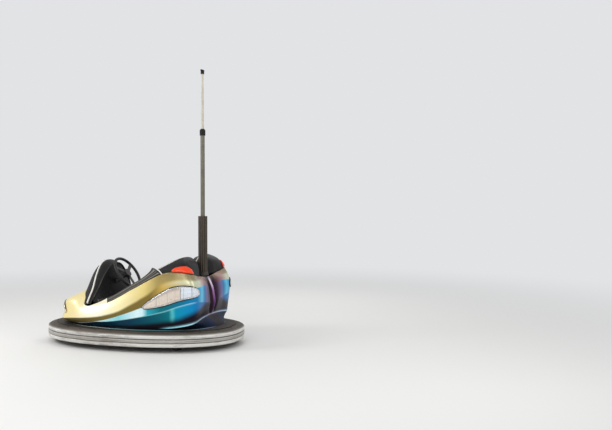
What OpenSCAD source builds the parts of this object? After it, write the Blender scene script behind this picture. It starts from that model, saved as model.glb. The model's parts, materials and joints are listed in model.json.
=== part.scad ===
// Fairground bumper car, fed by a pole that reaches up to a ceiling grid.
// Millimetres. The front is -Y, the driver's left is +X, the floor is Z = 0.

/* [Body] */
// Length of the painted body at its bottom lip
body_l = 1660; // [1600:10:1760]
// Width of the painted body
body_w = 960; // [940:10:1040]
// Height of the drawn body lines above the lip
body_h = 530; // [500:5:570]
// Height of the bottom lip above the floor
lip_z = 200; // [196:1:220]
// Thickness of the moulded panels
skin = 8; // [5:0.5:10]
// Thickness of the cockpit sides at the sill
sill_t = 46; // [40:1:56]
// Height of the black trim band on the sill, at the seat
trim_h = 54; // [40:1:64]

/* [Bumper] */
// Depth of the rubber, from its face to its carrier
bumper_t = 95; // [85:1:110]
// Space between the body's lip and the rubber at the sides
side_gap = 5; // [4:1:20]
// Space between the lip and the rubber at the nose
nose_gap = 45; // [30:1:80]
// Space between the lip and the rubber at the tail
tail_gap = 105; // [80:1:130]
// Underside of the rubber above the floor
bumper_z = 55; // [45:1:65]
// Height of one of the three outer ribs
rib_h = 36; // [30:1:38]
// Depth of the grooves between the ribs
groove_d = 9; // [5:1:12]
// Wall of the steel hoop that carries the rubber
hoop_t = 6; // [4:0.5:8]

/* [Chassis] */
// Width of the rails and cross members
rail_w = 40; // [30:1:44]
// Height of the rails and cross members
rail_h = 40; // [30:1:44]
// Top of the frame above the floor
frame_z = 170; // [168:1:176]
// Thickness of the floor pan and the deck
plate_t = 4; // [3:0.5:5]
// Radius of the transport holes through the rails
tie_r = 6.5; // [5:0.5:8]
// Distance between the transport holes along the car
tie_pitch = 800; // [700:10:900]

/* [Drive] */
// Radius of the drive wheel
drive_r = 110; // [100:1:112]
// Width of the drive wheel
drive_w = 60; // [50:1:64]
// Radius of the opening in the bearing ring
ring_r = 150; // [148:1:156]
// Width of the bearing ring's face
ring_w = 55; // [50:1:58]
// Height of the bearing ring's underside
ring_z = 236; // [234:1:240]
// Radius of the motor
motor_r = 65; // [55:1:68]
// Length of the motor
motor_l = 190; // [160:5:196]

/* [Rear wheels] */
// Distance of the rear axle behind the centre
axle_y = 500; // [490:1:505]
// Radius of the rear wheels
wheel_r = 88; // [80:1:90]
// Width of the rear wheels
wheel_w = 44; // [36:1:46]

/* [Steering] */
// Slope of the column above the level
column_tilt = 35; // [30:1:40]
// Length from the steering box to the wheel's hub
column_l = 390; // [370:5:400]
// Height of the steering box's middle
box_z = 440; // [438:1:446]
// Radius of the steering wheel to the middle of its rim
wheel_rim = 170; // [150:1:180]
// Radius of the rim's section
rim_r = 14; // [10:1:16]

/* [Seat] */
// Height of the seat base's top
seat_z = 250; // [240:1:270]
// Thickness of the seat cushion
cushion_t = 105; // [80:1:120]
// Width of the seat cushion
cushion_w = 700; // [600:10:710]
// Thickness of the backrest pad
pad_t = 80; // [60:1:95]

/* [Pole] */
// Radius of the pole's tube
tube_r = 20.5; // [19:0.5:22]
// Radius of the rod that slides in the tube
rod_r = 13; // [11:0.5:14]
// Top of the tube above the floor
tube_z = 2050; // [1900:10:2200]
// Top of the contact head above the floor
head_z = 2640; // [2500:10:2800]
// Radius of the fluted sleeve
sleeve_r = 44; // [38:1:46]
// Top of the fluted sleeve
sleeve_z = 1234; // [1100:1:1300]

/* [Hidden] */

// Clearances: a seat that only touches, a running shaft, and a free gap between moving pieces
seat_gap = 0.3;
run_gap = 0.05;
free_gap = 8;

bumper_l = body_l + nose_gap + tail_gap + 2 * bumper_t;
bumper_w = body_w + 2 * side_gap + 2 * bumper_t;
body_front = bumper_t + nose_gap - bumper_l / 2;
hoop_in = bumper_t + hoop_t;
// Outline of the bumper, a superellipse
plan_n = 2.3;
// Half width inside the hoop at the rear axle
hoop_x = bumper_w / 2 * pow(1 - pow(2 * axle_y / bumper_l, plan_n), 1 / plan_n) - 1.06 * hoop_in;
wheel_gap = 46;
// Distance from the centre line to each long rail, in steps of 10
rail_x = 10 * floor((hoop_x - wheel_gap - wheel_w - rail_w / 2 - free_gap) / 10);
wheel_x = rail_x + rail_w / 2 + free_gap + wheel_w / 2;
// Distance of the drive unit's upright axis ahead of the centre
drive_back = 340;
drive_y = -body_front - drive_back;
// Height of the plane that carries the body's edge
carry_z = lip_z - skin - seat_gap;

paint_gold = [0.62, 0.53, 0.26];
paint_blue = [0.05, 0.42, 0.60];
black = [0.07, 0.07, 0.07];
steel = [0.45, 0.46, 0.48];

// Lines of the left half of the body, drawn for a body 1660 long, 960 wide and 530 high.
// One row is one station, from the middle of the nose round the left side to the middle
// of the tail. Columns: lip, base, skirt, crease, belt, shoulder, top. Each is [x, y, height].
drawn_l = 1660;
drawn_w = 960;
drawn_h = 530;
drawn_front = -860;
lines = [
    [[0, -860, 0], [0, -800, 8], [0, -804, 48], [0, -808, 70], [0, -790, 110], [0, -770, 205], [0, -560, 320]],
    [[180, -800, 0], [176, -784, 10], [194, -786, 48], [199, -791, 70], [198, -770, 110], [188, -756, 212],
        [150, -545, 320]],
    [[300, -669, 0], [294, -662, 10], [362, -684, 48], [368, -690, 68], [366, -662, 110], [350, -660, 225],
        [262, -505, 305]],
    [[372, -530, 0], [366, -526, 10], [410, -572, 42], [420, -576, 62], [424, -566, 102], [400, -552, 228],
        [345, -455, 262]],
    [[415, -405, 0], [407, -403, 8], [436, -417, 28], [450, -420, 56], [458, -420, 86], [440, -416, 145],
        [405, -412, 192]],
    [[462, -175, 0], [453, -175, 7], [457, -170, 16], [474, -165, 62], [478, -165, 102], [466, -165, 170],
        [440, -165, 234]],
    [[480, 100, 0], [470, 100, 7], [472, 105, 16], [482, 115, 104], [486, 118, 178], [474, 120, 280],
        [452, 120, 377]],
    [[437, 410, 0], [428, 408, 8], [452, 408, 18], [476, 410, 172], [482, 410, 268], [472, 405, 400],
        [448, 400, 516]],
    [[384, 556, 0], [376, 552, 10], [448, 566, 36], [466, 570, 226], [472, 572, 322], [464, 570, 438],
        [446, 556, 532]],
    [[306, 690, 0], [299, 683, 12], [410, 696, 66], [424, 716, 264], [428, 722, 350], [416, 708, 436],
        [396, 674, 512]],
    [[156, 776, 0], [152, 768, 14], [206, 698, 92], [212, 728, 240], [214, 730, 340], [206, 712, 422],
        [192, 662, 478]],
    [[0, 800, 0], [0, 790, 15], [0, 692, 99], [0, 727, 212], [0, 712, 330], [0, 690, 400], [0, 663, 460]]
];
half = len(lines) - 1;
around = 2 * half;
nose_end = 4;
tail_start = 7;
top_row = 6;
// How much of a station the nose and tail panels stop short of the side panels
nose_seam = 0.022;
tail_seam = 0.008;
tail_top = real(lines[half][top_row]);
// The pole stands this far inside the tail's top edge
pole_inset = 53;
pole_y = tail_top[1] - pole_inset;

// Front cowl: piping arc, crown and dash lip at stations 0 to 4
cowl_front = [
    [[0, -497, 525], [0, -412, 600], [0, -326, 572]],
    [[125, -487, 500], [115, -408, 568], [108, -328, 545]],
    [[240, -452, 425], [225, -396, 470], [212, -336, 458]],
    [[335, -420, 315], [322, -380, 345], [308, -345, 338]],
    [[402, -406, 208], [396, -396, 210], [388, -384, 202]]
];
// Rear cowl: rear bulge, top and inner rim at stations 7 to 11
cowl_rear = [
    [[444, 374, 544], [427, 346, 552], [390, 338, 548]],
    [[428, 500, 584], [388, 450, 608], [354, 432, 602]],
    [[372, 612, 604], [298, 532, 654], [262, 506, 646]],
    [[176, 632, 588], [136, 552, 648], [124, 524, 640]],
    [[0, 552, 535], [0, 544, 592], [0, 524, 586]]
];
// How far the rear cowl steps forward round the pole, at stations 7 to 11
cowl_step = [0, 0, 0, 8, 117];

function lerp(a, b, t) = a + (b - a) * t;
function cubic(a, b, c, d, t) =
    0.5 * (2 * b + (c - a) * t + (2 * a - 5 * b + 4 * c - d) * t * t + (3 * b - a - 3 * c + d) * t * t * t);
function flip(p, side) = [p[0] * side, p[1], p[2]];
// A drawn point at the body's real size
function real(p) = [
    p[0] * body_w / drawn_w,
    body_front + (p[1] - drawn_front) * body_l / drawn_l,
    lip_z + p[2] * body_h / drawn_h
];
// The point of a half table at any whole station of the closed loop
function looped(table, k, j, first) =
    let (m = ((k % around) + around) % around, side = m > half ? -1 : 1, q = m > half ? around - m : m)
    flip(real(table[q - first][j]), side);
// Position along the loop s on rail j, smooth through the stations
function rail(j, s) =
    let (k = floor(s), t = s - k)
    t == 0 ? looped(lines, k, j, 0)
    : cubic(looped(lines, k - 1, j, 0), looped(lines, k, j, 0), looped(lines, k + 1, j, 0),
            looped(lines, k + 2, j, 0), t);
// Position on the body at station s and row v, with sharp lower rows and smooth upper rows
function surf(s, v) =
    v <= 2 ? let (j = min(floor(v), 1)) lerp(rail(j, s), rail(j + 1, s), v - j)
    : let (j = min(floor(v), top_row - 1), t = v - j,
           b = rail(j, s), c = rail(j + 1, s),
           a = j > 2 ? rail(j - 1, s) : 2 * b - c,
           d = j < top_row - 1 ? rail(j + 2, s) : 2 * c - b)
      cubic(a, b, c, d, t);
function unit(v) = v / norm(v);
function normal(s, v) =
    let (e = 0.02, lo = max(v - e, v <= 2 ? 0 : 2), hi = min(v + e, top_row))
    unit(cross(surf(s + e, v) - surf(s - e, v), surf(s, hi) - surf(s, lo)));
function on_body(s, v, h) = surf(s, v) + normal(s, v) * h;
// A table's own rail over the stations first .. last, held at its ends
function table_rail(table, j, s, first) =
    let (n = len(table), u = s - first, k = min(max(floor(u), 0), n - 2), t = u - k,
         b = real(table[k][j]), c = real(table[k + 1][j]),
         a = k > 0 ? real(table[k - 1][j]) : first == 0 ? flip(c, -1) : 2 * b - c,
         d = k < n - 2 ? real(table[k + 2][j]) : first == 0 ? 2 * c - b : flip(b, -1))
    cubic(a, b, c, d, t);
// The same for signed stations, where a negative one is on the right side
function both(table, j, s, first) = flip(table_rail(table, j, abs(s), first), s < 0 ? -1 : 1);
function spread(lo, hi, n) = [for (i = [0:n]) lerp(lo, hi, i / n)];
function lift(p, h) = [p[0], p[1], p[2] + h];

// Closed solid between an outer and an inner grid of points
module slab(outer, inner) {
    nr = len(outer);
    nc = len(outer[0]);
    o = nr * nc;
    pts = concat([for (r = outer) each r], [for (r = inner) each r]);
    skins = [for (i = [0:nr - 2], j = [0:nc - 2])
        let (a = i * nc + j, b = a + nc, c = b + 1, d = a + 1)
        each [[a, d, c], [a, c, b], [a + o, c + o, d + o], [a + o, b + o, c + o]]];
    low_edge = [for (i = [0:nr - 2]) let (a = i * nc, b = a + nc) each [[a, b, b + o], [a, b + o, a + o]]];
    high_edge = [for (i = [0:nr - 2]) let (d = i * nc + nc - 1, c = d + nc) each [[c, d, d + o], [c, d + o, c + o]]];
    first_edge = [for (j = [0:nc - 2]) let (a = j, d = j + 1) each [[d, a, a + o], [d, a + o, d + o]]];
    last_edge = [for (j = [0:nc - 2])
        let (b = (nr - 1) * nc + j, c = b + 1) each [[b, c, c + o], [b, c + o, b + o]]];
    polyhedron(pts, concat(skins, low_edge, high_edge, first_edge, last_edge), convexity = 8);
}

// Closed ring swept from a list of closed sections
module ring_sweep(rings) {
    n = len(rings);
    m = len(rings[0]);
    polyhedron([for (r = rings) each r],
        [for (i = [0:n - 1], j = [0:m - 1])
            let (a = i * m + j, d = i * m + (j + 1) % m, b = ((i + 1) % n) * m + j,
                 c = ((i + 1) % n) * m + (j + 1) % m)
            each [[a, d, c], [a, c, b]]], convexity = 8);
}

// Point of the outline at angle a and a depth d inside the rubber's face
plan_steps = 72;
function power(v, e) = sign(v) * pow(abs(v), e);
function plan(a, d) =
    let (x = power(cos(a), 2 / plan_n), y = power(sin(a), 2 / plan_n),
         nx = power(cos(a), 2 - 2 / plan_n) / bumper_w, ny = power(sin(a), 2 - 2 / plan_n) / bumper_l)
    [x * bumper_w / 2, y * bumper_l / 2] - unit([nx, ny]) * d;
function outline(d) = [for (i = [0:plan_steps - 1]) plan(i * 360 / plan_steps, d)];

// Rubber section as [depth, height above the underside]: three ribs, then the sloping top
rib_round = 4;
function rib(k) = [
    [rib_round, k * rib_h + 4], [0, k * rib_h + rib_h * 0.3], [0, k * rib_h + rib_h * 0.7],
    [rib_round, (k + 1) * rib_h - 4], [groove_d, (k + 1) * rib_h]
];
rubber_top = carry_z - plate_t - bumper_z - seat_gap;
rubber = concat([[16, 0]], [for (k = [0:2]) each rib(k)],
    [[groove_d - 1, 3 * rib_h + 5], [20, lerp(3 * rib_h, rubber_top, 0.55)], [46, rubber_top - 6],
     [bumper_t - 14, rubber_top - 2],
     [bumper_t, rubber_top - 2], [bumper_t, 6], [bumper_t - 12, 0]]);

module bumper_rubber() {
    color("lightgray")
    ring_sweep([for (i = [0:plan_steps - 1])
        [for (p = rubber) let (q = plan(i * 360 / plan_steps, p[0])) [q[0], q[1], bumper_z + p[1]]]]);
}

hoop_z = bumper_z + 12;
hoop_top = frame_z + 6;
module bumper_hoop() {
    color(steel)
    translate([0, 0, hoop_z])
        linear_extrude(hoop_top - hoop_z)
            difference() {
                polygon(outline(bumper_t + seat_gap));
                polygon(outline(hoop_in));
            }
}

// Long rails, cross members and outriggers, cut to the hoop's inner face
cross_y = [-drive_y - ring_r - 35, -drive_y + ring_r + 35, 60, axle_y - 110, pole_y];
outrigger_y = [-300, 0, 300];
// Socket of the pole, with the tube's foot inside
socket_h = rail_h + 50;
tube_z0 = frame_z - rail_h + 8;
module chassis_frame() {
    color(steel)
    difference() {
        intersection() {
            translate([0, 0, frame_z - rail_h])
                linear_extrude(socket_h) polygon(outline(hoop_in + seat_gap));
            union() {
                for (side = [-1, 1])
                    translate([side * rail_x - rail_w / 2, -bumper_l / 2, frame_z - rail_h])
                        cube([rail_w, bumper_l, rail_h]);
                for (y = cross_y)
                    translate([-rail_x, y - rail_w / 2, frame_z - rail_h])
                        cube([2 * rail_x, rail_w, rail_h]);
                for (y = outrigger_y, x = [-bumper_w / 2, rail_x])
                    translate([x, y - rail_w / 2, frame_z - rail_h])
                        cube([bumper_w / 2 - rail_x, rail_w, rail_h]);
                translate([0, pole_y, frame_z - rail_h]) cylinder(h = socket_h, r = tube_r + 14, $fn = 64);
            }
        }
        for (x = [-rail_x, rail_x], y = [-tie_pitch / 2, tie_pitch / 2])
            translate([x, y, frame_z - rail_h - 1]) cylinder(h = rail_h + 2, r = tie_r, $fn = 48);
        translate([0, pole_y, tube_z0]) cylinder(h = rail_h + 60, r = tube_r + seat_gap, $fn = 64);
    }
    color(steel)
    for (side = [-1, 1])
        translate([side * rail_x, axle_y, wheel_r])
            axle_hanger();
}

// Plate under a rail with the axle's seat
axle_r = 12.5;
hanger_t = 12;
module axle_hanger() {
    difference() {
        translate([-hanger_t / 2, -32, -22]) cube([hanger_t, 64, frame_z - rail_h - wheel_r + 22]);
        rotate([0, 90, 0]) cylinder(h = hanger_t + 2, r = axle_r + seat_gap, center = true, $fn = 48);
    }
}

// Flat plate between the rubber and the body's lip
deck_in = 34;
module deck_plate() {
    color([0.36, 0.34, 0.32])
    translate([0, 0, carry_z - plate_t])
        linear_extrude(plate_t)
            difference() {
                polygon(outline(bumper_t - 14));
                polygon([for (s = spread(0, around, 4 * around))
                    let (p = rail(0, s), f = 1 - deck_in / norm([p[0], p[1]])) [p[0] * f, p[1] * f]]);
            }
    color([0.36, 0.34, 0.32])
    for (a = [20, 90, 160, 200, 270, 340])
        let (p = plan(a, hoop_in + 9))
        translate([p[0], p[1], hoop_top - 30])
            cylinder(h = carry_z - plate_t - hoop_top + 30, r = 8, $fn = 32);
}

// Tray that closes the cockpit underneath, with a rim under the sides
bulkhead_y = -drive_y + ring_r + ring_w + 10;
pan_stations = spread(nose_end, tail_start, 12);
pan_under = 4;
function pan_x(s) = rail(top_row, s)[0] - sill_t + pan_under;
function pan_side(d) = [for (s = pan_stations) [pan_x(s) - d, rail(top_row, s)[1]]];
function pan_outline(d) =
    concat(pan_side(d), [for (i = [len(pan_stations) - 1:-1:0]) let (p = pan_side(d)[i]) [-p[0], p[1]]]);
pan_back = rail(top_row, tail_start)[1];
// Drain holes in the footwell
drain_pitch = 60;
drain_at = 65;
module floor_pan() {
    color([0.5, 0.5, 0.5])
    intersection() {
        translate([-body_w / 2, bulkhead_y, 0]) cube([body_w, pan_back - bulkhead_y, carry_z]);
        difference() {
            translate([0, 0, frame_z + seat_gap]) linear_extrude(carry_z - frame_z - seat_gap)
                polygon(pan_outline(0));
            translate([0, 0, frame_z + plate_t + seat_gap]) linear_extrude(lip_z) polygon(pan_outline(plate_t));
            for (x = [-5:5], y = [0:3])
                translate([x * drain_pitch, bulkhead_y + drain_at + y * drain_pitch, frame_z - 1])
                    cylinder(h = 12, r = 5, $fn = 24);
        }
    }
}

// Upright panel between the drive unit and the footwell
arm_z = box_z - 24;
panel_top = arm_z + 28;
panel_w = 2 * (rail(top_row, nose_end + 0.35)[0] - sill_t - seat_gap);
module footwell_panel() {
    color(black)
    translate([-panel_w / 2, bulkhead_y, frame_z + plate_t + 2 * seat_gap])
        cube([panel_w, plate_t + 1, panel_top - frame_z - plate_t - 2 * seat_gap]);
}

rows = [0, 1, 2, 2.5, 3, 3.5, 4, 4.25, 4.5, 4.75, 5, 5.5, 6];
// Points at a height h over the body. At both ends they stay in the seam's own plane
function skin_grid(from, to, n, h) =
    [for (i = [0:n]) let (s = lerp(from, to, i / n), level = i == 0 || i == n ? 0 : 1)
        [for (v = rows) let (m = normal(s, v)) surf(s, v) + unit([m[0], m[1] * level, m[2]]) * h]];
nose_end_s = nose_end - nose_seam;
tail_end_s = tail_start + tail_seam;
module nose_panel() {
    color(paint_gold)
    slab(skin_grid(-nose_end_s, nose_end_s, 28, 0), skin_grid(-nose_end_s, nose_end_s, 28, -skin));
}
module tail_panel() {
    color(paint_blue)
    slab(skin_grid(tail_end_s, around - tail_end_s, 28, 0),
         skin_grid(tail_end_s, around - tail_end_s, 28, -skin));
}
// One side: the painted skin outside, the cockpit's wall inside
function wall_grid(from, to, n) =
    [for (s = spread(from, to, n)) let (x = rail(top_row, s)[0] - sill_t) [for (v = rows) let (p = surf(s, v)) [x, p[1], p[2]]]];
function footed(g, x) = [for (r = g) concat([[r[0][0] + x, r[0][1], carry_z + seat_gap]], r)];
module side_panel() {
    slab(footed(skin_grid(nose_end, tail_start, 12, 0), -3), footed(wall_grid(nose_end, tail_start, 12), 0));
    sill_end();
}
// Painted front end of the sill, which climbs to the top of the trim behind it
sill_end_from = nose_end + 0.2;
sill_end_sink = 2;
module sill_end() {
    stations = spread(sill_end_from, trim_from - 0.01, 6);
    function edge(s, x) =
        let (p = rail(top_row, s), rise = trim_rise(trim_from) * (s - sill_end_from) / (trim_from - sill_end_from))
        [[p[0] + x, p[1], p[2] - sill_end_sink], [p[0] + x, p[1], p[2] + 1 + rise]];
    slab([for (s = stations) edge(s, -1)], [for (s = stations) edge(s, 3 - sill_t)]);
}
module side_panel_left() { color(paint_gold) side_panel(); }
module side_panel_right() { color(paint_gold) mirror([1, 0, 0]) side_panel(); }

// Ribbed rubber band on the sill. Its rear end leans forward, under the rear cowl's edge
trim_from = nose_end + 1;
trim_lean = 1.9;
trim_end_gap = 5;
trim_ribs = [0, 0.3, 0.55, 0.75, 1];
trim_x = [0, 3, -2, 1, -6];
function trim_rise(s) = trim_h * min(1, 0.8 + 0.4 * (s - trim_from) / (tail_start - trim_from));
function trim_pt(s, x, h) =
    let (p = rail(top_row, s), end = pow(max(0, s - tail_start + 1), 2))
    [p[0] + x, p[1] - end * (trim_lean * h + trim_end_gap), p[2] + seat_gap + h];
module sill_trim() {
    stations = spread(trim_from, tail_start, 8);
    slab([for (s = stations) [for (i = [0:4]) trim_pt(s, trim_x[i], trim_rise(s) * trim_ribs[i])]],
         [for (s = stations) [for (i = [0:4]) trim_pt(s, 2 - sill_t, trim_rise(s) * trim_ribs[i] * 0.92)]]);
}
module sill_trims() {
    color(black) {
        sill_trim();
        mirror([1, 0, 0]) sill_trim();
    }
}

// Black hood over the nose, up to the dash lip
front_rows = [0, 0.5, 1, 1.5, 2, 2.5, 3];
function front_cowl_rail(j, s) = j == 0 ? lift(rail(top_row, s), seat_gap) : both(cowl_front, j - 1, s, 0);
function through(rails, w) =
    let (n = len(rails), k = min(floor(w), n - 2), t = w - k, b = rails[k], c = rails[k + 1])
    cubic(k > 0 ? rails[k - 1] : 2 * b - c, b, c, k < n - 2 ? rails[k + 2] : 2 * c - b, t);
function front_cowl_pt(s, w) = through([for (j = [0:3]) front_cowl_rail(j, s)], w);
module front_cowl() {
    stations = spread(-nose_end_s, nose_end_s, 28);
    outer = [for (s = stations) [for (w = front_rows) front_cowl_pt(s, w)]];
    color(black) slab(outer, inset(outer, skin));
}
// A grid moved inward along its own normals, level along its first row, which rests on the body
function inset(g, t) =
    let (n = len(g), m = len(g[0]))
    [for (i = [0:n - 1]) [for (j = [0:m - 1])
        let (u = g[min(i + 1, n - 1)][j] - g[max(i - 1, 0)][j], v = g[i][min(j + 1, m - 1)] - g[i][max(j - 1, 0)],
             c = cross(u, v))
        g[i][j] - unit(j == 0 ? [c[0], c[1], 0] : c) * t]];

// Panel that faces the driver, from the dash lip down to the footwell panel
dash_t = 10;
dash_half = 3.75;
// The dash starts this far under the cowl's lip
dash_drop = skin + 4;
function dash_pt(s, w, d) =
    let (e = 0.05, lip = front_cowl_pt(s, 3),
         n = unit(cross(front_cowl_pt(s + e, 3) - front_cowl_pt(s - e, 3), lip - front_cowl_pt(s, 3 - e))),
         p = lip - n * dash_drop,
         low_z = panel_top + seat_gap - 70 * max(0, abs(s) - 3),
         low = [p[0] * 0.96, bulkhead_y - seat_gap - 1, low_z])
    lerp(p, low, w) - [0, d * 0.8, d * 0.5];
module dash_panel() {
    stations = spread(-dash_half, dash_half, 22);
    color(black)
    difference() {
        slab([for (s = stations) [for (w = [1, 0.66, 0.33, 0]) dash_pt(s, w, dash_t)]],
             [for (s = stations) [for (w = [1, 0.66, 0.33, 0]) dash_pt(s, w, 0)]]);
        on_column() translate([0, 0, -50]) cylinder(h = column_l + 200, r = column_r + seat_gap, $fn = 48);
    }
}

// Black cowl behind the backrest, stepped forward round the pole
function rear_cowl_rail(j, s) =
    j > 0 ? both(cowl_rear, j - 1, s, tail_start)
    : let (q = abs(s), k = min(floor(q - tail_start), 3), t = q - tail_start - k,
           step = lerp(cowl_step[k], cowl_step[k + 1], t * t * (3 - 2 * t)))
      lift(flip(rail(top_row, q), s < 0 ? -1 : 1), seat_gap) - [0, step, 0];
function rear_cowl_pt(s, w) = through([for (j = [0:3]) rear_cowl_rail(j, s)], w);
rear_rows = [0, 0.33, 0.66, 1, 1.5, 2, 2.5, 3];
// Signed stations from the left end over the tail's middle to the right end
function over_tail(n) =
    concat(spread(tail_end_s, half, n), [for (s = spread(-half, -tail_end_s, n)) if (s > -half) s]);
module rear_cowl() {
    outer = [for (s = over_tail(14)) [for (w = rear_rows) rear_cowl_pt(s, w)]];
    color(black) slab(outer, inset(outer, skin));
}

// Heart-shaped board inside the rear cowl's rim, and the pad on it
board_t = 12;
board_low = [355, 372, 118];
function board_pt(s, w, d) =
    let (top = lift(both(cowl_rear, 2, s, tail_start), -0.8), share = (half - abs(s)) / (half - tail_start),
         low = real([board_low[0] * share, board_low[1], board_low[2]]))
    lerp(top, flip(low, s < 0 ? -1 : 1), w) - [0, d, 0];
pad_rows = [0.97, 0.85, 0.65, 0.45, 0.25, 0.1, 0.02];
board_rows = concat([1], pad_rows, [0]);
module backrest_board() {
    outer = [for (s = over_tail(10)) [for (w = board_rows) board_pt(s, w, seat_gap)]];
    inner = [for (s = over_tail(10)) [for (w = board_rows) board_pt(s, w, seat_gap + board_t)]];
    color(black) slab(outer, inner);
}
function bulge(s, w) =
    let (a = (half - abs(s)) / (half - tail_start), across = 1 - pow(a, 4), along = 1 - pow(2 * w - 1, 4))
    0.35 + 0.65 * across * along;
module backrest_pad() {
    outer = [for (s = over_tail(10)) [for (w = pad_rows) board_pt(s, w, board_t + 2 * seat_gap)]];
    inner = [for (s = over_tail(10)) [for (w = pad_rows) board_pt(s, w, board_t + 2 * seat_gap + pad_t * bulge(s, w))]];
    color([0.1, 0.1, 0.1]) slab(outer, inner);
}

// Moulded box under the cushion
base_front = -20;
base_back = real(board_low)[1] - 4;
base_w = cushion_w + 20;
base_z = frame_z + plate_t + 2 * seat_gap;
module seat_base() {
    color(black)
    difference() {
        translate([-base_w / 2, 0, 0]) rotate([90, 0, 90]) linear_extrude(base_w)
            polygon([[base_front, base_z], [base_front + 24, seat_z], [base_back, seat_z], [base_back, base_z]]);
        translate([-base_w / 2 + skin, 0, 0]) rotate([90, 0, 90]) linear_extrude(base_w - 2 * skin)
            polygon([[base_front + skin, base_z - 1], [base_front + 24 + skin, seat_z - skin],
                     [base_back - skin, seat_z - skin], [base_back - skin, base_z - 1]]);
    }
}
cushion_back = base_back - board_t - pad_t * 0.55;
module seat_cushion() {
    crown = 18;
    front = base_front + 8;
    xs = spread(-1, 1, 14);
    ys = spread(0, 1, 8);
    color([0.1, 0.1, 0.1])
    slab([for (x = xs) [for (y = ys)
            [x * cushion_w / 2, lerp(front, cushion_back, y),
             seat_z + cushion_t - crown * (pow(x, 4) + pow(2 * y - 1, 4)) + 6 * (1 - y)]]],
         [for (x = xs) [for (y = ys) [x * (cushion_w / 2 - 6), lerp(front + 6, cushion_back - 4, y), seat_z + seat_gap]]]);
}

// Lens or bezel on a surface: p and q run from -1 to 1 across it
function dome(p, q) = sqrt(max(0, 1 - pow(p, 4)) * max(0, 1 - pow(q, 4)));
function leaf(p, blunt) = sqrt(max(0.02, 1 - pow(abs(p), p > 0 ? blunt : 2)));
lamp_p = spread(-1, 1, 14);
lamp_q = spread(-1, 1, 6);
// Space under a lamp, for the facets of the panel it sits on, and more at the tail's corner
lamp_gap = 1.1;
corner_gap = 2.6;
// Almond tail lamp, from its front tip to its blunt rear end round the corner
tail_lamp_s = [6.36, 9.28];
module tail_lamp() {
    slab([for (p = lamp_p) [for (q = lamp_q) tail_lamp_pt(p, q, 5 + 13 * dome(p, q))]],
         [for (p = lamp_p) [for (q = lamp_q) tail_lamp_pt(p, q, corner_gap)]]);
}
function tail_lamp_pt(p, q, h) =
    let (s = lerp(tail_lamp_s[0], tail_lamp_s[1], (p + 1) / 2), vc = 4 + 0.12 * (1 - p * p),
         vh = 0.58 * leaf(p, 5))
    on_body(s, vc + q * vh, h);
module tail_lamps() {
    color("white") {
        tail_lamp();
        mirror([1, 0, 0]) tail_lamp();
    }
}
// Half-round headlamp with a flat bottom, on the nose's face
head_s = [0.3, 2.15];
function head_pt(p, q, h) =
    let (s = lerp(head_s[0], head_s[1], (p + 1) / 2), v = 4.05 + (q + 1) / 2 * 0.95 * leaf(p, 2))
    on_body(s, v, h);
module headlamp() {
    slab([for (p = lamp_p) [for (q = lamp_q) head_pt(p, q, 4 + 14 * dome(p, q))]],
         [for (p = lamp_p) [for (q = lamp_q) head_pt(p, q, lamp_gap)]]);
}
module headlamps() {
    color("white") {
        headlamp();
        mirror([1, 0, 0]) headlamp();
    }
}
// Half-moon lamp on the rear cowl
cowl_lamp_s = [7.66, 9.22];
function cowl_pt(s, w, h) =
    let (e = 0.02, p = rear_cowl_pt(s, w),
         n = unit(cross(rear_cowl_pt(s + e, w) - rear_cowl_pt(s - e, w),
                        rear_cowl_pt(s, w + e) - rear_cowl_pt(s, max(w - e, 0)))))
    p + n * h;
function cowl_lamp_pt(p, q, h) =
    let (s = lerp(cowl_lamp_s[0], cowl_lamp_s[1], (p + 1) / 2), w = 0.08 + (q + 1) / 2 * 0.72 * leaf(p, 3))
    cowl_pt(s, w, h);
module cowl_lamp() {
    slab([for (p = lamp_p) [for (q = lamp_q) cowl_lamp_pt(p, q, 4 + 12 * dome(p, q))]],
         [for (p = lamp_p) [for (q = lamp_q) cowl_lamp_pt(p, q, lamp_gap + 0.5)]]);
}
module cowl_lamps() {
    color([0.9, 0.25, 0.05]) {
        cowl_lamp();
        mirror([1, 0, 0]) cowl_lamp();
    }
}

// Foot pedal on the floor, to the driver's right of the column
pedal_x = -150;
pedal_reach = 112;
pedal_y = bulkhead_y + pedal_reach;
module pedal() {
    color(steel)
    translate([pedal_x, pedal_y, frame_z + plate_t + 2 * seat_gap]) {
        translate([-45, -20, 0]) cube([90, 40, 6]);
        translate([-40, 6, 6]) rotate([-28, 0, 0]) translate([0, -110, 0]) cube([80, 116, 6]);
        translate([-30, -60, 0]) cube([6, 50, 26]);
        translate([24, -60, 0]) cube([6, 50, 26]);
    }
}

// Everything on the steering column's axis is drawn with Z up the column
column_r = 22;
shaft_r = 12;
module on_column() {
    translate([0, -drive_y, box_z]) rotate([column_tilt - 90, 0, 0]) children();
}
king_r = 15;
arm_t = 8;
arm_w = 130;
// Arm from the footwell panel to the steering box
module column_bracket() {
    color(steel)
    difference() {
        union() {
            translate([-arm_w / 2, -drive_y - 50, arm_z]) cube([arm_w, bulkhead_y + drive_y + 50, arm_t]);
            for (x = [-arm_w / 2, arm_w / 2 - arm_t])
                translate([x, bulkhead_y - 100, arm_z + arm_t]) cube([arm_t, 100, 12]);
        }
        translate([0, -drive_y, arm_z - 1]) cylinder(h = arm_t + 2, r = king_r + 2, $fn = 48);
    }
}
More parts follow.
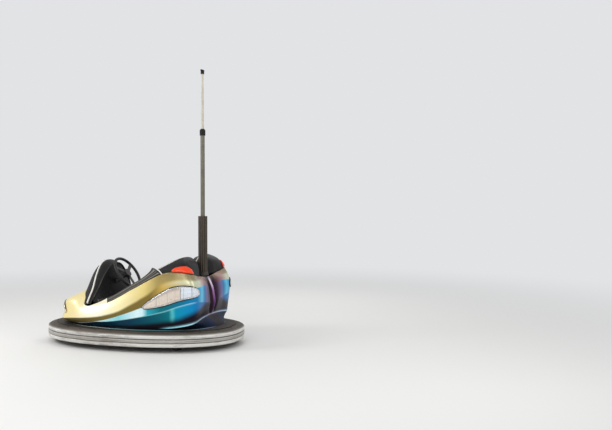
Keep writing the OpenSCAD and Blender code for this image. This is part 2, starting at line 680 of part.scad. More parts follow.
// Steering box that holds the universal joint, with the column's tube
module steering_column() {
    color(steel)
    difference() {
        union() {
            translate([0, -drive_y, arm_z + arm_t]) cylinder(h = 36, r = 42, $fn = 64);
            on_column() translate([0, 0, 26]) cylinder(h = column_l - 66, r = column_r, $fn = 64);
        }
        on_column() translate([0, 0, 30]) cylinder(h = column_l, r = shaft_r + run_gap, $fn = 64);
        translate([0, -drive_y, arm_z + arm_t - 1]) cylinder(h = 15, r = king_r + run_gap, $fn = 64);
    }
}
module steering_shaft() {
    color("silver")
    on_column() translate([0, 0, 32]) cylinder(h = column_l - 40, r = shaft_r, $fn = 64);
}
module steering_wheel() {
    color(black)
    on_column() translate([0, 0, column_l]) {
        difference() {
            union() {
                rotate_extrude($fn = 96) translate([wheel_rim, 0]) circle(r = rim_r, $fn = 32);
                for (a = [90, 210, 330])
                    rotate([0, 0, a]) translate([20, -16, -4]) cube([wheel_rim - 20, 32, 8]);
                translate([0, 0, -22]) cylinder(h = 34, r = 42, $fn = 64);
            }
            translate([0, 0, -23]) cylinder(h = 15, r = shaft_r + seat_gap, $fn = 64);
        }
    }
}

// Drive unit: a turntable that carries the motor above and the wheel's yoke below
ring_t = 12;
leg_at = [70, ring_r + 20];
module bearing_ring() {
    color(steel)
    translate([0, -drive_y, 0]) {
        translate([0, 0, ring_z])
            difference() {
                cylinder(h = ring_t, r = ring_r + ring_w, $fn = 96);
                translate([0, 0, -1]) cylinder(h = ring_t + 2, r = ring_r, $fn = 96);
            }
        for (x = [-leg_at[0], leg_at[0]], y = [-leg_at[1], leg_at[1]])
            translate([x, y, frame_z + seat_gap]) cylinder(h = ring_z - frame_z - seat_gap, r = 12, $fn = 48);
    }
}
table_z = ring_z + ring_t + seat_gap;
table_t = 8;
case_x = motor_l / 2 + 1;
case_t = 22;
case_r = 40;
motor_z = table_z + table_t + motor_r + 4;
module turntable() {
    color("gray")
    translate([0, -drive_y, 0])
        difference() {
            union() {
                translate([0, 0, table_z]) cylinder(h = table_t, r = ring_r + ring_w - 10, $fn = 96);
                translate([0, 0, table_z - 10]) cylinder(h = 10, r = ring_r - run_gap, $fn = 96);
            }
            translate([0, 0, table_z - 11]) cylinder(h = 11, r = ring_r - 15, $fn = 96);
            translate([case_x - 6, -case_r - 8, table_z - 1]) cube([case_t + 12, 2 * case_r + 16, table_t + 2]);
        }
}
yoke_x = drive_w / 2 + free_gap;
yoke_t = 8;
module drive_yoke() {
    color(steel)
    translate([0, -drive_y, 0])
        difference() {
            union() {
                for (side = [-1, 1])
                    translate([side * (yoke_x + yoke_t / 2) - yoke_t / 2, 0, 0]) {
                        translate([0, -35, drive_r]) cube([yoke_t, 70, table_z - drive_r]);
                        translate([0, 0, drive_r]) rotate([0, 90, 0]) cylinder(h = yoke_t, r = 35, $fn = 64);
                    }
                translate([-yoke_x - yoke_t, -35, table_z - 6]) cube([2 * (yoke_x + yoke_t), 70, 6]);
            }
            translate([0, 0, drive_r]) rotate([0, 90, 0])
                cylinder(h = 300, r = shaft_r + run_gap, center = true, $fn = 64);
        }
}
module drive_motor() {
    color([0.25, 0.27, 0.3])
    translate([0, -drive_y, motor_z]) {
        rotate([0, 90, 0]) cylinder(h = motor_l, r = motor_r, center = true, $fn = 64);
        for (k = [-3:3])
            translate([k * 22, 0, 0]) rotate([0, 90, 0]) cylinder(h = 8, r = motor_r + 4, center = true, $fn = 64);
    }
}
module chain_case() {
    color("darkslategray")
    translate([case_x, -drive_y, 0])
        difference() {
            union() {
                for (z = [drive_r, motor_z])
                    translate([0, 0, z]) rotate([0, 90, 0]) cylinder(h = case_t, r = case_r, $fn = 64);
                translate([0, -case_r, drive_r]) cube([case_t, 2 * case_r, motor_z - drive_r]);
            }
            translate([-1, 0, drive_r]) rotate([0, 90, 0]) cylinder(h = 13, r = shaft_r + run_gap, $fn = 64);
        }
}
// Strap over the motor with the upright pin that the steering box turns
strap_y = motor_r + 18;
strap_top = arm_z - free_gap;
module drive_bridge() {
    color(steel)
    translate([0, -drive_y, 0]) {
        for (side = [-1, 1])
            translate([-25, side * strap_y - 4, table_z + table_t]) cube([50, 8, strap_top - table_z - table_t]);
        translate([-25, -strap_y - 4, strap_top - 8]) cube([50, 2 * strap_y + 8, 8]);
        translate([0, 0, strap_top - 1]) cylinder(h = arm_z + arm_t + 12 - strap_top, r = king_r, $fn = 64);
    }
}
tyre_t = 30;
// Rim with its live axle, which turns in the yoke and the chain case
module drive_rim() {
    color("silver")
    translate([0, -drive_y, drive_r]) rotate([0, 90, 0]) {
        cylinder(h = drive_w - 10, r = drive_r - tyre_t - 0.2, center = true, $fn = 96);
        translate([0, 0, -yoke_x - yoke_t - 6]) cylinder(h = yoke_x + yoke_t + 6 + case_x + 10, r = shaft_r, $fn = 64);
    }
}
module wheel_tyre(r, w, t, round) {
    rotate([0, 90, 0])
        rotate_extrude($fn = 96)
            polygon([[r - t, -w / 2], [r - round, -w / 2], [r - round * 0.3, -w / 2 + round * 0.4],
                     [r, -w / 2 + round], [r, w / 2 - round], [r - round * 0.3, w / 2 - round * 0.4],
                     [r - round, w / 2], [r - t, w / 2]]);
}
module drive_tyre() {
    color(black) translate([0, -drive_y, drive_r]) wheel_tyre(drive_r, drive_w, tyre_t, 8);
}

// Fixed rear axle with a collar and a nut at each wheel
module rear_axle() {
    color(steel)
    translate([0, axle_y, wheel_r]) rotate([0, 90, 0]) {
        cylinder(h = 2 * (wheel_x + wheel_w / 2 + 12), r = axle_r, center = true, $fn = 64);
        for (side = [-1, 1])
            translate([0, 0, side * (wheel_x + wheel_w / 2 + 7)]) cylinder(h = 10, r = 20, center = true, $fn = 6);
    }
}
rear_t = 26;
module rear_rim() {
    translate([wheel_x, axle_y, wheel_r]) rotate([0, 90, 0])
        difference() {
            union() {
                cylinder(h = wheel_w - 14, r = wheel_r - rear_t - 0.2, center = true, $fn = 96);
                cylinder(h = wheel_w, r = 24, center = true, $fn = 64);
            }
            cylinder(h = wheel_w + 2, r = axle_r + run_gap, center = true, $fn = 64);
        }
}
module rear_tyre() {
    translate([wheel_x, axle_y, wheel_r]) wheel_tyre(wheel_r, wheel_w, rear_t, 7);
}
module rear_rim_left() { color("silver") rear_rim(); }
module rear_tyre_left() { color(black) rear_tyre(); }
module rear_rim_right() { color("silver") mirror([1, 0, 0]) rear_rim(); }
module rear_tyre_right() { color(black) mirror([1, 0, 0]) rear_tyre(); }

// Pole from the frame, with its boot, fluted sleeve, collar, sliding rod and contact head
boot_z = tail_top[2] + 4;
boot_h = 34;
rod_down = 420;
// The rod is even up to here above the tube, as far as it slides, and tapers above
rod_even = 170;
module pole_tube() {
    color([0.4, 0.4, 0.38])
    translate([0, pole_y, tube_z0])
        difference() {
            cylinder(h = tube_z - tube_z0, r = tube_r, $fn = 64);
            translate([0, 0, 20]) cylinder(h = tube_z - tube_z0, r = rod_r + run_gap, $fn = 64);
        }
}
module pole_boot() {
    color(black)
    translate([0, pole_y, boot_z])
        difference() {
            union() {
                cylinder(h = boot_h * 0.4, r = sleeve_r + 12, $fn = 64);
                cylinder(h = boot_h, r = sleeve_r + 5, $fn = 64);
            }
            translate([0, 0, -1]) cylinder(h = boot_h + 2, r = tube_r + seat_gap, $fn = 64);
        }
}
flutes = 12;
module pole_sleeve() {
    color([0.32, 0.29, 0.25])
    translate([0, pole_y, boot_z + boot_h])
        linear_extrude(sleeve_z - boot_z - boot_h)
            difference() {
                union() {
                    circle(r = sleeve_r - 7, $fn = 64);
                    for (k = [0:flutes - 1])
                        rotate(k * 360 / flutes) translate([sleeve_r - 8, 0]) circle(r = 8, $fn = 32);
                }
                circle(r = tube_r + seat_gap, $fn = 64);
            }
}
module pole_collar() {
    color(black)
    translate([0, pole_y, tube_z])
        difference() {
            union() {
                translate([0, 0, -40]) cylinder(h = 52, r = tube_r + 7, $fn = 64);
                cylinder(h = 22, r = tube_r, $fn = 64);
            }
            translate([0, 0, -41]) cylinder(h = 41, r = tube_r + seat_gap, $fn = 64);
            translate([0, 0, -1]) cylinder(h = 30, r = rod_r + run_gap, $fn = 64);
        }
}
head_h = 40;
shoe_l = 56;
module pole_rod() {
    color([0.85, 0.82, 0.74])
    translate([0, pole_y, 0]) {
        translate([0, 0, tube_z - rod_down]) cylinder(h = rod_down + rod_even, r = rod_r, $fn = 64);
        translate([0, 0, tube_z + rod_even])
            cylinder(h = head_z - head_h - tube_z - rod_even, r1 = rod_r, r2 = rod_r * 0.78, $fn = 64);
    }
}
module contact_head() {
    color(black)
    translate([0, pole_y, head_z - head_h]) {
        cylinder(h = head_h - 10, r = rod_r + 4, $fn = 48);
        translate([-shoe_l / 2, -9, head_h - 12]) cube([shoe_l, 18, 12]);
    }
}

chassis_frame();
bumper_hoop();
bumper_rubber();
deck_plate();
floor_pan();
footwell_panel();
nose_panel();
side_panel_left();
side_panel_right();
tail_panel();
sill_trims();
front_cowl();
dash_panel();
rear_cowl();
backrest_board();
backrest_pad();
seat_base();
seat_cushion();
headlamps();
tail_lamps();
cowl_lamps();
pedal();
column_bracket();
steering_column();
steering_shaft();
steering_wheel();
bearing_ring();
turntable();
drive_yoke();
drive_motor();
chain_case();
drive_bridge();
drive_rim();
drive_tyre();
rear_axle();
rear_rim_left();
rear_tyre_left();
rear_rim_right();
rear_tyre_right();
pole_tube();
pole_boot();
pole_sleeve();
pole_collar();
pole_rod();
contact_head();
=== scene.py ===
import json
import math
import bpy
import numpy as np
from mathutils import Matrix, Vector
from mathutils.bvhtree import BVHTree


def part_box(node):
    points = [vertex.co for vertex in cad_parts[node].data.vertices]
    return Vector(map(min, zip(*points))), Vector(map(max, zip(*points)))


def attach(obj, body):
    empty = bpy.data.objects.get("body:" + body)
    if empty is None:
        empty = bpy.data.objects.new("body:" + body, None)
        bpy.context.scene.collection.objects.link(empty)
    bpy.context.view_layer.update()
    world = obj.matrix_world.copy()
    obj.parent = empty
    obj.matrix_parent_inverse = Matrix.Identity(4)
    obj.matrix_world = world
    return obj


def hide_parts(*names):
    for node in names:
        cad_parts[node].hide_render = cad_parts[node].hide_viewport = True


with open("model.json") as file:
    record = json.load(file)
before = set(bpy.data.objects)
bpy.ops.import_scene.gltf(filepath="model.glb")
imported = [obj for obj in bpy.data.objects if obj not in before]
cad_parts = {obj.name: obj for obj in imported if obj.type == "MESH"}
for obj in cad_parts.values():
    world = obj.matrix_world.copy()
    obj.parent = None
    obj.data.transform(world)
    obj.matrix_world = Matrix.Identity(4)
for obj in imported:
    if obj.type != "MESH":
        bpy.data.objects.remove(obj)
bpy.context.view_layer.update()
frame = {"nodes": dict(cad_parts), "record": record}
nodes = frame["nodes"]
print("frame loaded,", len(nodes), "nodes")


def tone(r, g, b):
    # a screen colour, 0 to 255, as the linear colour that Blender's sockets take
    lin = [((c / 255 + 0.055) / 1.055) ** 2.4 if c > 10 else c / 255 / 12.92 for c in (r, g, b)]
    return (*lin, 1.0)


class Wire:
    # one socket of a node sheet, its arithmetic adds Math nodes
    def __init__(self, sheet, socket):
        self.sheet, self.socket = sheet, socket

    def maths(self, kind, *values):
        return self.sheet.add("ShaderNodeMath", {"operation": kind}, dict(enumerate(values)))

    def __radd__(self, other):
        return self.maths("ADD", other, self)

    def __rsub__(self, other):
        return self.maths("SUBTRACT", other, self)

    def step(self, low, high):
        # 0 below low, 1 above high, smooth between
        return self.sheet.add("ShaderNodeMapRange", {"interpolation_type": "SMOOTHSTEP"},
                              {"Value": self, "From Min": low, "From Max": high})

    def ramp(self, *stops):
        # each stop is a place from 0 to 1 and a screen colour
        colours = [(at, tone(*rgb)) for at, *rgb in stops]
        return self.sheet.add("ShaderNodeValToRGB", {"stops": colours}, {"Fac": self})


signs = dict(__add__="ADD", __sub__="SUBTRACT", __mul__="MULTIPLY", __truediv__="DIVIDE", __pow__="POWER",
             __abs__="ABSOLUTE", sine="SINE", most="MAXIMUM", least="MINIMUM")
for sign, operation in signs.items():
    setattr(Wire, sign, lambda self, *other, kind=operation: self.maths(kind, self, *other))


class Sheet:
    # a node tree with its shader, filled through one method
    def __init__(self, tree, shader):
        self.tree, self.shader = tree, tree.nodes[shader]

    def add(self, kind, settings, sockets, out=0):
        node = self.tree.nodes.new(kind)
        for key, value in settings.items():
            if key == "stops":
                ramp = node.color_ramp
                while len(ramp.elements) < len(value):
                    ramp.elements.new(1.0)
                for element, (at, colour) in zip(ramp.elements, value):
                    element.position, element.color = at, colour
            else:
                setattr(node, key, value)
        for key, value in sockets.items():
            if isinstance(value, Wire):
                self.tree.links.new(value.socket, node.inputs[key])
            else:
                node.inputs[key].default_value = value
        return Wire(self, node.outputs[out])

    def set(self, **wires):
        for socket, wire in wires.items():
            self.tree.links.new(wire.socket, self.shader.inputs[socket.replace("_", " ")])


class Finish(Sheet):
    # a material
    def __init__(self, name, **constants):
        self.material = bpy.data.materials.new(name)
        self.material.use_nodes = True
        super().__init__(self.material.node_tree, "Principled BSDF")
        for socket, value in constants.items():
            self.shader.inputs[socket.replace("_", " ")].default_value = value
        self.place = self.add("ShaderNodeTexCoord", {}, {}, "Object")

    def noise(self, scale, detail=4.0, rough=0.55, where=None, twist=0.0):
        return self.add("ShaderNodeTexNoise", {}, {"Vector": where or self.place, "Scale": scale,
                        "Detail": detail, "Roughness": rough, "Distortion": twist}, "Fac")

    def cells(self, scale, out="Distance"):
        return self.add("ShaderNodeTexVoronoi", {}, {"Vector": self.place, "Scale": scale}, out)

    def stretched(self, x, y, z):
        return self.add("ShaderNodeMapping", {}, {"Vector": self.place, "Scale": (x, y, z)})

    def axes(self):
        return [self.add("ShaderNodeSeparateXYZ", {}, {"Vector": self.place}, i) for i in range(3)]

    def value(self, name):
        return self.add("ShaderNodeAttribute", {"attribute_name": name}, {}, "Fac")

    def blend(self, share, low, high):
        # two colours mixed, wires or screen colours; sockets 6 and 7 are the colour pair
        low, high = (c if isinstance(c, Wire) else tone(*c) for c in (low, high))
        return self.add("ShaderNodeMix", {"data_type": "RGBA"}, {0: share, 6: low, 7: high}, 2)

    def layers(self, colour, *coats):
        # coats over a first colour, each with the share that it covers
        for share, coat in coats:
            colour = self.blend(share, colour, coat)
        return colour

    def bump(self, height, distance, strength=1.0, below=None):
        sockets = {"Height": height, "Distance": distance, "Strength": strength}
        if below:
            sockets["Normal"] = below
        return self.add("ShaderNodeBump", {}, sockets)


def catmull(a, b, c, d, t):
    return 0.5 * (2 * b + (c - a) * t + (2 * a - 5 * b + 4 * c - d) * t ** 2 + (3 * b - a - 3 * c + d) * t ** 3)


def unit(v):
    return v / np.maximum(np.linalg.norm(v, axis=-1, keepdims=True), 1e-12)


def normalsOf(grid):
    return unit(np.cross(np.gradient(grid, axis=0), np.gradient(grid, axis=1)))


def smoothStep(low, high, v):
    t = np.clip((np.asarray(v, float) - low) / (high - low), 0, 1)
    return t * t * (3 - 2 * t)


def mirrored(grid):
    return grid * np.array([-1, 1, 1])


def placed(name, data):
    thing = bpy.data.objects.new(name, data)
    bpy.context.scene.collection.objects.link(thing)
    return thing


class Pieces:
    # gathers grids of points into one mesh, with named values at the points
    def __init__(self):
        self.points, self.faces, self.values, self.count = [], [], {}, 0

    def grid(self, points, loopU=False, loopV=False, flip=False, **values):
        n, m = points.shape[:2]
        i, j = np.meshgrid(np.arange(n if loopU else n - 1), np.arange(m if loopV else m - 1), indexing="ij")
        a, b = i * m + j, ((i + 1) % n) * m + j
        c, d = ((i + 1) % n) * m + (j + 1) % m, i * m + (j + 1) % m
        quads = np.stack([a, b, c, d], -1).reshape(-1, 4) + self.count
        self.faces += (quads[:, ::-1] if flip else quads).tolist()
        self.points.append(points.reshape(-1, 3))
        for name, value in values.items():
            self.values.setdefault(name, []).append((self.count, np.broadcast_to(value, (n, m)).reshape(-1)))
        self.count += n * m
        return self

    def cap(self, ring, flip=False):
        # a fan over a closed ring of points
        n = len(ring)
        self.points.append(np.vstack([ring, ring.mean(0)]))
        fan = [[self.count + k, self.count + (k + 1) % n, self.count + n] for k in range(n)]
        self.faces += [f[::-1] for f in fan] if flip else fan
        self.count += n + 1
        return self

    def make(self, name, finish, sharp=40):
        mesh = bpy.data.meshes.new(name)
        mesh.from_pydata(np.vstack(self.points).tolist(), [], self.faces)
        for key, blocks in self.values.items():
            column = np.zeros(self.count, np.float32)
            for start, block in blocks:
                column[start:start + len(block)] = block
            mesh.attributes.new(key, "FLOAT", "POINT").data.foreach_set("value", column)
        mesh.validate()
        mesh.shade_smooth()
        mesh.set_sharp_from_angle(angle=math.radians(sharp))
        mesh.materials.append(finish.material)
        return placed(name, mesh)


def tubeGrid(path, radius, sides, closed):
    # rings of points along a path, turned without twist
    path = np.asarray(path, float)
    ahead = unit(np.roll(path, -1, 0) - np.roll(path, 1, 0)) if closed else unit(np.gradient(path, axis=0))
    side = np.cross(ahead[0], [0.0, 0.0, 1.0] if abs(ahead[0][2]) < 0.9 else [1.0, 0.0, 0.0])
    rings = []
    around = np.linspace(0, 2 * math.pi, sides, endpoint=False)
    for k, p in enumerate(path):
        side = unit(side - ahead[k] * np.dot(side, ahead[k]))
        up = np.cross(side, ahead[k])
        rings.append(p + radius * (np.cos(around)[:, None] * side + np.sin(around)[:, None] * up))
    return np.array(rings)


def addTube(pieces, path, radius, sides=12, closed=False):
    rings = tubeGrid(path, radius, sides, closed)
    pieces.grid(rings, loopU=closed, loopV=True)
    if not closed:
        pieces.cap(rings[0], True).cap(rings[-1])
    return pieces


def addDisc(pieces, centre, axis, profile, sides):
    # a turned piece: profile is [(radius, height along the axis)]
    axis = unit(np.asarray(axis, float))
    side = unit(np.cross(axis, [0.3, 0.9, 0.2]))
    up = np.cross(axis, side)
    turn = np.linspace(0, 2 * math.pi, sides, endpoint=False)
    rings = [np.asarray(centre) + axis * h + r * (np.cos(turn)[:, None] * side + np.sin(turn)[:, None] * up)
             for r, h in profile]
    pieces.grid(np.array(rings), loopV=True).cap(rings[-1])


def resample(path, count):
    path = np.asarray(path, float)
    run = np.concatenate([[0], np.cumsum(np.linalg.norm(np.diff(path, axis=0), axis=1))])
    spots = np.linspace(0, run[-1], count)
    return np.stack([np.interp(spots, run, path[:, k]) for k in range(3)], 1)


# body lines as in the part's source, in millimetres: a row for each station, from the nose round to the tail
# columns are lip, base, skirt, crease, belt, shoulder and top, each x, y and height above the lip

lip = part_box("tail_panel")[0].z
bodyLines = np.array([
    [[0, -860, 0], [0, -800, 8], [0, -804, 48], [0, -808, 70], [0, -790, 110], [0, -770, 205], [0, -560, 320]],
    [[180, -800, 0], [176, -784, 10], [194, -786, 48], [199, -791, 70], [198, -770, 110], [188, -756, 212],
     [150, -545, 320]],
    [[300, -669, 0], [294, -662, 10], [362, -684, 48], [368, -690, 68], [366, -662, 110], [350, -660, 225],
     [262, -505, 305]],
    [[372, -530, 0], [366, -526, 10], [410, -572, 42], [420, -576, 62], [424, -566, 102], [400, -552, 228],
     [345, -455, 262]],
    [[415, -405, 0], [407, -403, 8], [436, -417, 28], [450, -420, 56], [458, -420, 86], [440, -416, 145],
     [405, -412, 192]],
    [[462, -175, 0], [453, -175, 7], [457, -170, 16], [474, -165, 62], [478, -165, 102], [466, -165, 170],
     [440, -165, 234]],
    [[480, 100, 0], [470, 100, 7], [472, 105, 16], [482, 115, 104], [486, 118, 178], [474, 120, 280],
     [452, 120, 377]],
    [[437, 410, 0], [428, 408, 8], [452, 408, 18], [476, 410, 172], [482, 410, 268], [472, 405, 400],
     [448, 400, 516]],
    [[384, 556, 0], [376, 552, 10], [448, 566, 36], [466, 570, 226], [472, 572, 322], [464, 570, 438],
     [446, 556, 532]],
    [[306, 690, 0], [299, 683, 12], [410, 696, 66], [424, 716, 264], [428, 722, 350], [416, 708, 436],
     [396, 674, 512]],
    [[156, 776, 0], [152, 768, 14], [206, 698, 92], [212, 728, 240], [214, 730, 340], [206, 712, 422],
     [192, 662, 478]],
    [[0, 800, 0], [0, 790, 15], [0, 692, 99], [0, 727, 212], [0, 712, 330], [0, 690, 400], [0, 663, 460]],
]) / 1000
bodyLines[..., 2] += lip
cowlFront = np.array([
    [[0, -497, 525], [0, -412, 600], [0, -326, 572]],
    [[125, -487, 500], [115, -408, 568], [108, -328, 545]],
    [[240, -452, 425], [225, -396, 470], [212, -336, 458]],
    [[335, -420, 315], [322, -380, 345], [308, -345, 338]],
    [[402, -406, 208], [396, -396, 210], [388, -384, 202]],
]) / 1000
cowlFront[..., 2] += lip
cowlRear = np.array([
    [[444, 374, 544], [427, 346, 552], [390, 338, 548]],
    [[428, 500, 584], [388, 450, 608], [354, 432, 602]],
    [[372, 612, 604], [298, 532, 654], [262, 506, 646]],
    [[176, 632, 588], [136, 552, 648], [124, 524, 640]],
    [[0, 552, 535], [0, 544, 592], [0, 524, 586]],
]) / 1000
cowlRear[..., 2] += lip
cowlStep = [0, 0, 0, 0.008, 0.117]
stations = 11
loopTable = np.concatenate([bodyLines, mirrored(bodyLines[10:0:-1])])


def railsAt(s):
    # the seven rails at loop positions s
    k = np.floor(s).astype(int)
    f = (s - k)[:, None, None]
    return catmull(*(loopTable[(k + i) % 22] for i in (-1, 0, 1, 2)), f)


crisp = {2: 0.35, 3: 0.45}  # how far the rows over these rails follow the curve, the rest is straight


def bodyGrid(s, rows):
    r = railsAt(s)
    out = []
    for v in rows:
        if v <= 2:
            j = min(int(v), 1)
            out.append(r[:, j] + (r[:, j + 1] - r[:, j]) * (v - j))
            continue
        j = min(int(v), 5)
        b, c, t = r[:, j], r[:, j + 1], v - j
        curve = catmull(r[:, j - 1] if j > 2 else 2 * b - c, b, c, r[:, j + 2] if j < 5 else 2 * c - b, t)
        share = crisp.get(j, 1.0)
        out.append((b + (c - b) * t) * (1 - share) + curve * share)
    return np.stack(out, 1)


def tableRail(table, j, s, first):
    # a cowl table's rail at signed stations, a negative one is on the right side
    out = []
    for q in s:
        a = abs(q) - first
        n = len(table)
        k = int(min(max(math.floor(a), 0), n - 2))
        flip = np.array([-1, 1, 1])
        b, c = table[k][j], table[k + 1][j]
        before = table[k - 1][j] if k > 0 else (c * flip if first == 0 else 2 * b - c)
        after = table[k + 2][j] if k < n - 2 else (2 * c - b if first == 0 else b * flip)
        p = catmull(before, b, c, after, a - k)
        out.append(p * flip if q < 0 else p)
    return np.array(out)


def topEdge(s):
    return railsAt(np.asarray(s, float) % 22)[:, 6]


def signedRun(s):
    # loop positions past the tail's middle, 11, count back from the nose as negative ones
    s = np.asarray(s, float)
    return np.where(s > stations, s - 22, s)


def across(rails, w):
    # smooth points over a list of rails, at w from 0 to the last rail
    out = []
    for v in w:
        k = int(min(math.floor(v), len(rails) - 2))
        b, c = rails[k], rails[k + 1]
        out.append(catmull(rails[k - 1] if k > 0 else 2 * b - c, b, c,
                           rails[k + 2] if k < len(rails) - 2 else 2 * c - b, v - k))
    return np.stack(out, 1)


def frontCowlGrid(s, w):
    return across([topEdge(s)] + [tableRail(cowlFront, j, s, 0) for j in range(3)], w)


def rearCowlGrid(s, w):
    # s runs on through the tail's middle, from 7 to 15
    signed, base = signedRun(s), topEdge(s)
    q = np.abs(signed) - 7
    k = np.clip(np.floor(q).astype(int), 0, 3)
    t = q - k
    steps = np.array(cowlStep)
    base[:, 1] -= steps[k] + (steps[k + 1] - steps[k]) * t * t * (3 - 2 * t)
    return across([base] + [tableRail(cowlRear, j, signed, 7) for j in range(3)], w)


boardLow = np.array([0.355, 0.372, lip + 0.118])  # the backrest board's lower corner


def boardGrid(s, w, forward):
    signed = signedRun(s)
    top = tableRail(cowlRear, 2, signed, 7)
    share = (stations - np.abs(signed)) / 4 * np.sign(signed)
    low = boardLow * np.stack([share, 1 + 0 * share, 1 + 0 * share], 1)
    grid = top[:, None] + (low - top)[:, None] * np.asarray(w, float)[None, :, None]
    return grid - np.array([0, 1, 0]) * np.broadcast_to(forward, grid.shape[:2])[..., None]


def paintFinish():
    f = Finish("bodyPaint", Coat_Roughness=0.05, IOR=1.24)
    row, band, deep, strip, glint, middle = map(f.value, ("row", "band", "deep", "strip", "glint", "middle"))
    dirt, cloud = f.noise(3.2, 6, 0.62), f.noise(9, 3) - 0.5
    along = (f.value("along") + cloud * 0.12) / 11
    weave = f.noise(130, 3, 0.6) - 0.5
    # pale gold top band; its near-white stop along the front of the sill is a painted highlight, its dark stops at
    # the tail's middle are painted shade beside the ridge
    straw = along.ramp(
        (0.0, 226, 202, 132), (0.16, 242, 222, 152), (0.3, 248, 232, 172), (0.42, 255, 250, 226),
        (0.5, 252, 240, 186), (0.58, 226, 204, 128), (0.62, 176, 154, 90), (0.72, 160, 144, 98),
        (0.84, 160, 148, 116), (0.89, 176, 138, 130), (0.93, 130, 88, 90), (0.96, 66, 36, 42))
    # olive band between the gold and the blue, darkened along the front as painted shade; its dark stops at the
    # tail's middle are painted shade beside the ridge
    olive = along.ramp(
        (0.0, 66, 56, 28), (0.3, 88, 76, 36), (0.5, 122, 106, 50), (0.6, 132, 112, 50), (0.645, 208, 174, 86),
        (0.7, 214, 192, 120), (0.78, 200, 196, 156), (0.86, 206, 214, 190), (0.9, 168, 128, 132),
        (0.95, 84, 46, 56))
    # cyan band above the crease; its near-white stops along the side and at the tail's corner are painted highlights,
    # its dark stops at the tail's middle painted shade beside the ridge
    cyan = along.ramp(
        (0.0, 70, 70, 60), (0.34, 190, 214, 204), (0.42, 214, 244, 244), (0.5, 140, 218, 228),
        (0.56, 222, 250, 254), (0.575, 214, 248, 254), (0.59, 40, 170, 188), (0.63, 0, 114, 124),
        (0.72, 0, 116, 146), (0.84, 4, 136, 196), (0.875, 96, 202, 240), (0.9, 24, 124, 184),
        (0.925, 116, 100, 150), (0.955, 62, 36, 66), (1.0, 44, 20, 44))
    # blue band under the crease; its light stop at 0.69 is a painted highlight
    blue = along.ramp(
        (0.0, 12, 18, 22), (0.36, 0, 26, 40), (0.54, 0, 54, 78), (0.61, 0, 88, 104), (0.67, 0, 116, 130),
        (0.69, 84, 192, 200), (0.712, 0, 148, 182), (0.8, 0, 138, 196), (0.87, 0, 118, 188), (0.91, 34, 78, 136),
        (0.94, 44, 24, 60), (1.0, 34, 16, 40))
    # dusk and under, the bands low on the body: the paint's dark navy, deepened as painted shade on the
    # downward-facing lower body, with a faint painted blue sheen near the tail
    dusk = along.ramp(
        (0.0, 22, 20, 16), (0.4, 0, 14, 24), (0.6, 8, 6, 18), (0.8, 18, 8, 26), (0.95, 30, 14, 36),
        (1.0, 34, 16, 40))
    under = along.ramp(
        (0.0, 22, 22, 20), (0.5, 0, 12, 20), (0.72, 0, 4, 10), (0.86, 0, 16, 40), (0.94, 0, 28, 62),
        (1.0, 0, 12, 30))
    khaki = row.step(5.0, 5.9) * along.step(0.58, 0.66) * (0.45 + weave * 2.2)
    height = f.axes()[2]
    # ridge: colours of the painted highlight down the tail's ridge, purple low and pale at the top
    ridge = ((height - 0.3) / 0.36).ramp(
        (0.0, 52, 30, 62), (0.3, 96, 52, 110), (0.62, 170, 116, 180), (0.86, 238, 222, 244), (1.0, 120, 70, 84))
    # valley: painted shade in the valleys beside the tail's ridge
    valley = middle.step(0.02, 0.03) * (1 - middle.step(0.07, 0.11)) * along.step(0.85, 0.9)
    # painted highlight down the middle of the tail's ridge
    ridgeHighlight = along.step(0.8, 0.86) * (1 - middle.step(0.014, 0.024)) * height.step(0.29, 0.34)
    scuff = f.noise(60, 3, 0.7, f.stretched(1, 0.12, 1.6)).step(0.62, 0.74) * dirt.step(0.45, 0.62)
    # darker along the body's lowest edge, below 0.22 m high, and in dirt patches
    footAndDirt = ((1 - height.step(0.19, 0.22)) * 0.12 + dirt.step(0.55, 0.8) * 0.14).least(0.8)
    # shine: colours of the painted highlight lines, pale green-grey for those high on the body
    shine = along.ramp(
        (0.0, 214, 214, 196), (0.42, 240, 250, 246), (0.56, 122, 222, 230), (0.8, 176, 226, 244),
        (1.0, 196, 186, 214))
    shine = f.blend(row.step(4.2, 4.6), shine, (206, 212, 188))
    # bands from the lowest up, then the painted shade in the valleys, the ridge's painted highlight, the darker foot
    # and dirt, wear scuffs, and the painted highlight lines on top
    paint = f.layers(
        under, (row.step(1.86, 2.04), dusk), ((deep + cloud * 0.05).step(-0.2, 0.16), blue),
        ((row + cloud * 0.03).step(2.95, 3.06), cyan), ((band + cloud * 0.05).step(-0.05, 0.07), olive),
        ((strip + cloud * 0.1).step(-0.1, 0.2), straw), (khaki.most(0).least(0.8), (120, 106, 72)),
        (valley * 0.85, (34, 16, 24)), (ridgeHighlight, ridge), (footAndDirt, (58, 56, 50)), (scuff * 0.2, (205, 200, 190)),
        ((glint * (1.7 - row.step(2.4, 2.8) * 0.7)).least(1.0), shine))
    flake = f.cells(900, out="Color")
    upper = row.step(2.5, 3.2)
    f.set(Base_Color=paint, Metallic=0.35 - footAndDirt * 0.3,
          Roughness=0.3 + dirt.step(0.4, 0.8) * 0.14 + scuff * 0.2 + footAndDirt * 0.2 + (1 - row.step(1.6, 2.2)) * 0.25,
          Coat_Weight=0.02 + upper * 0.16 - footAndDirt * upper * 0.1,
          Normal=f.bump(flake, 0.00025, 0.22, f.bump(f.noise(14, 2), 0.002, 0.1)))
    return f


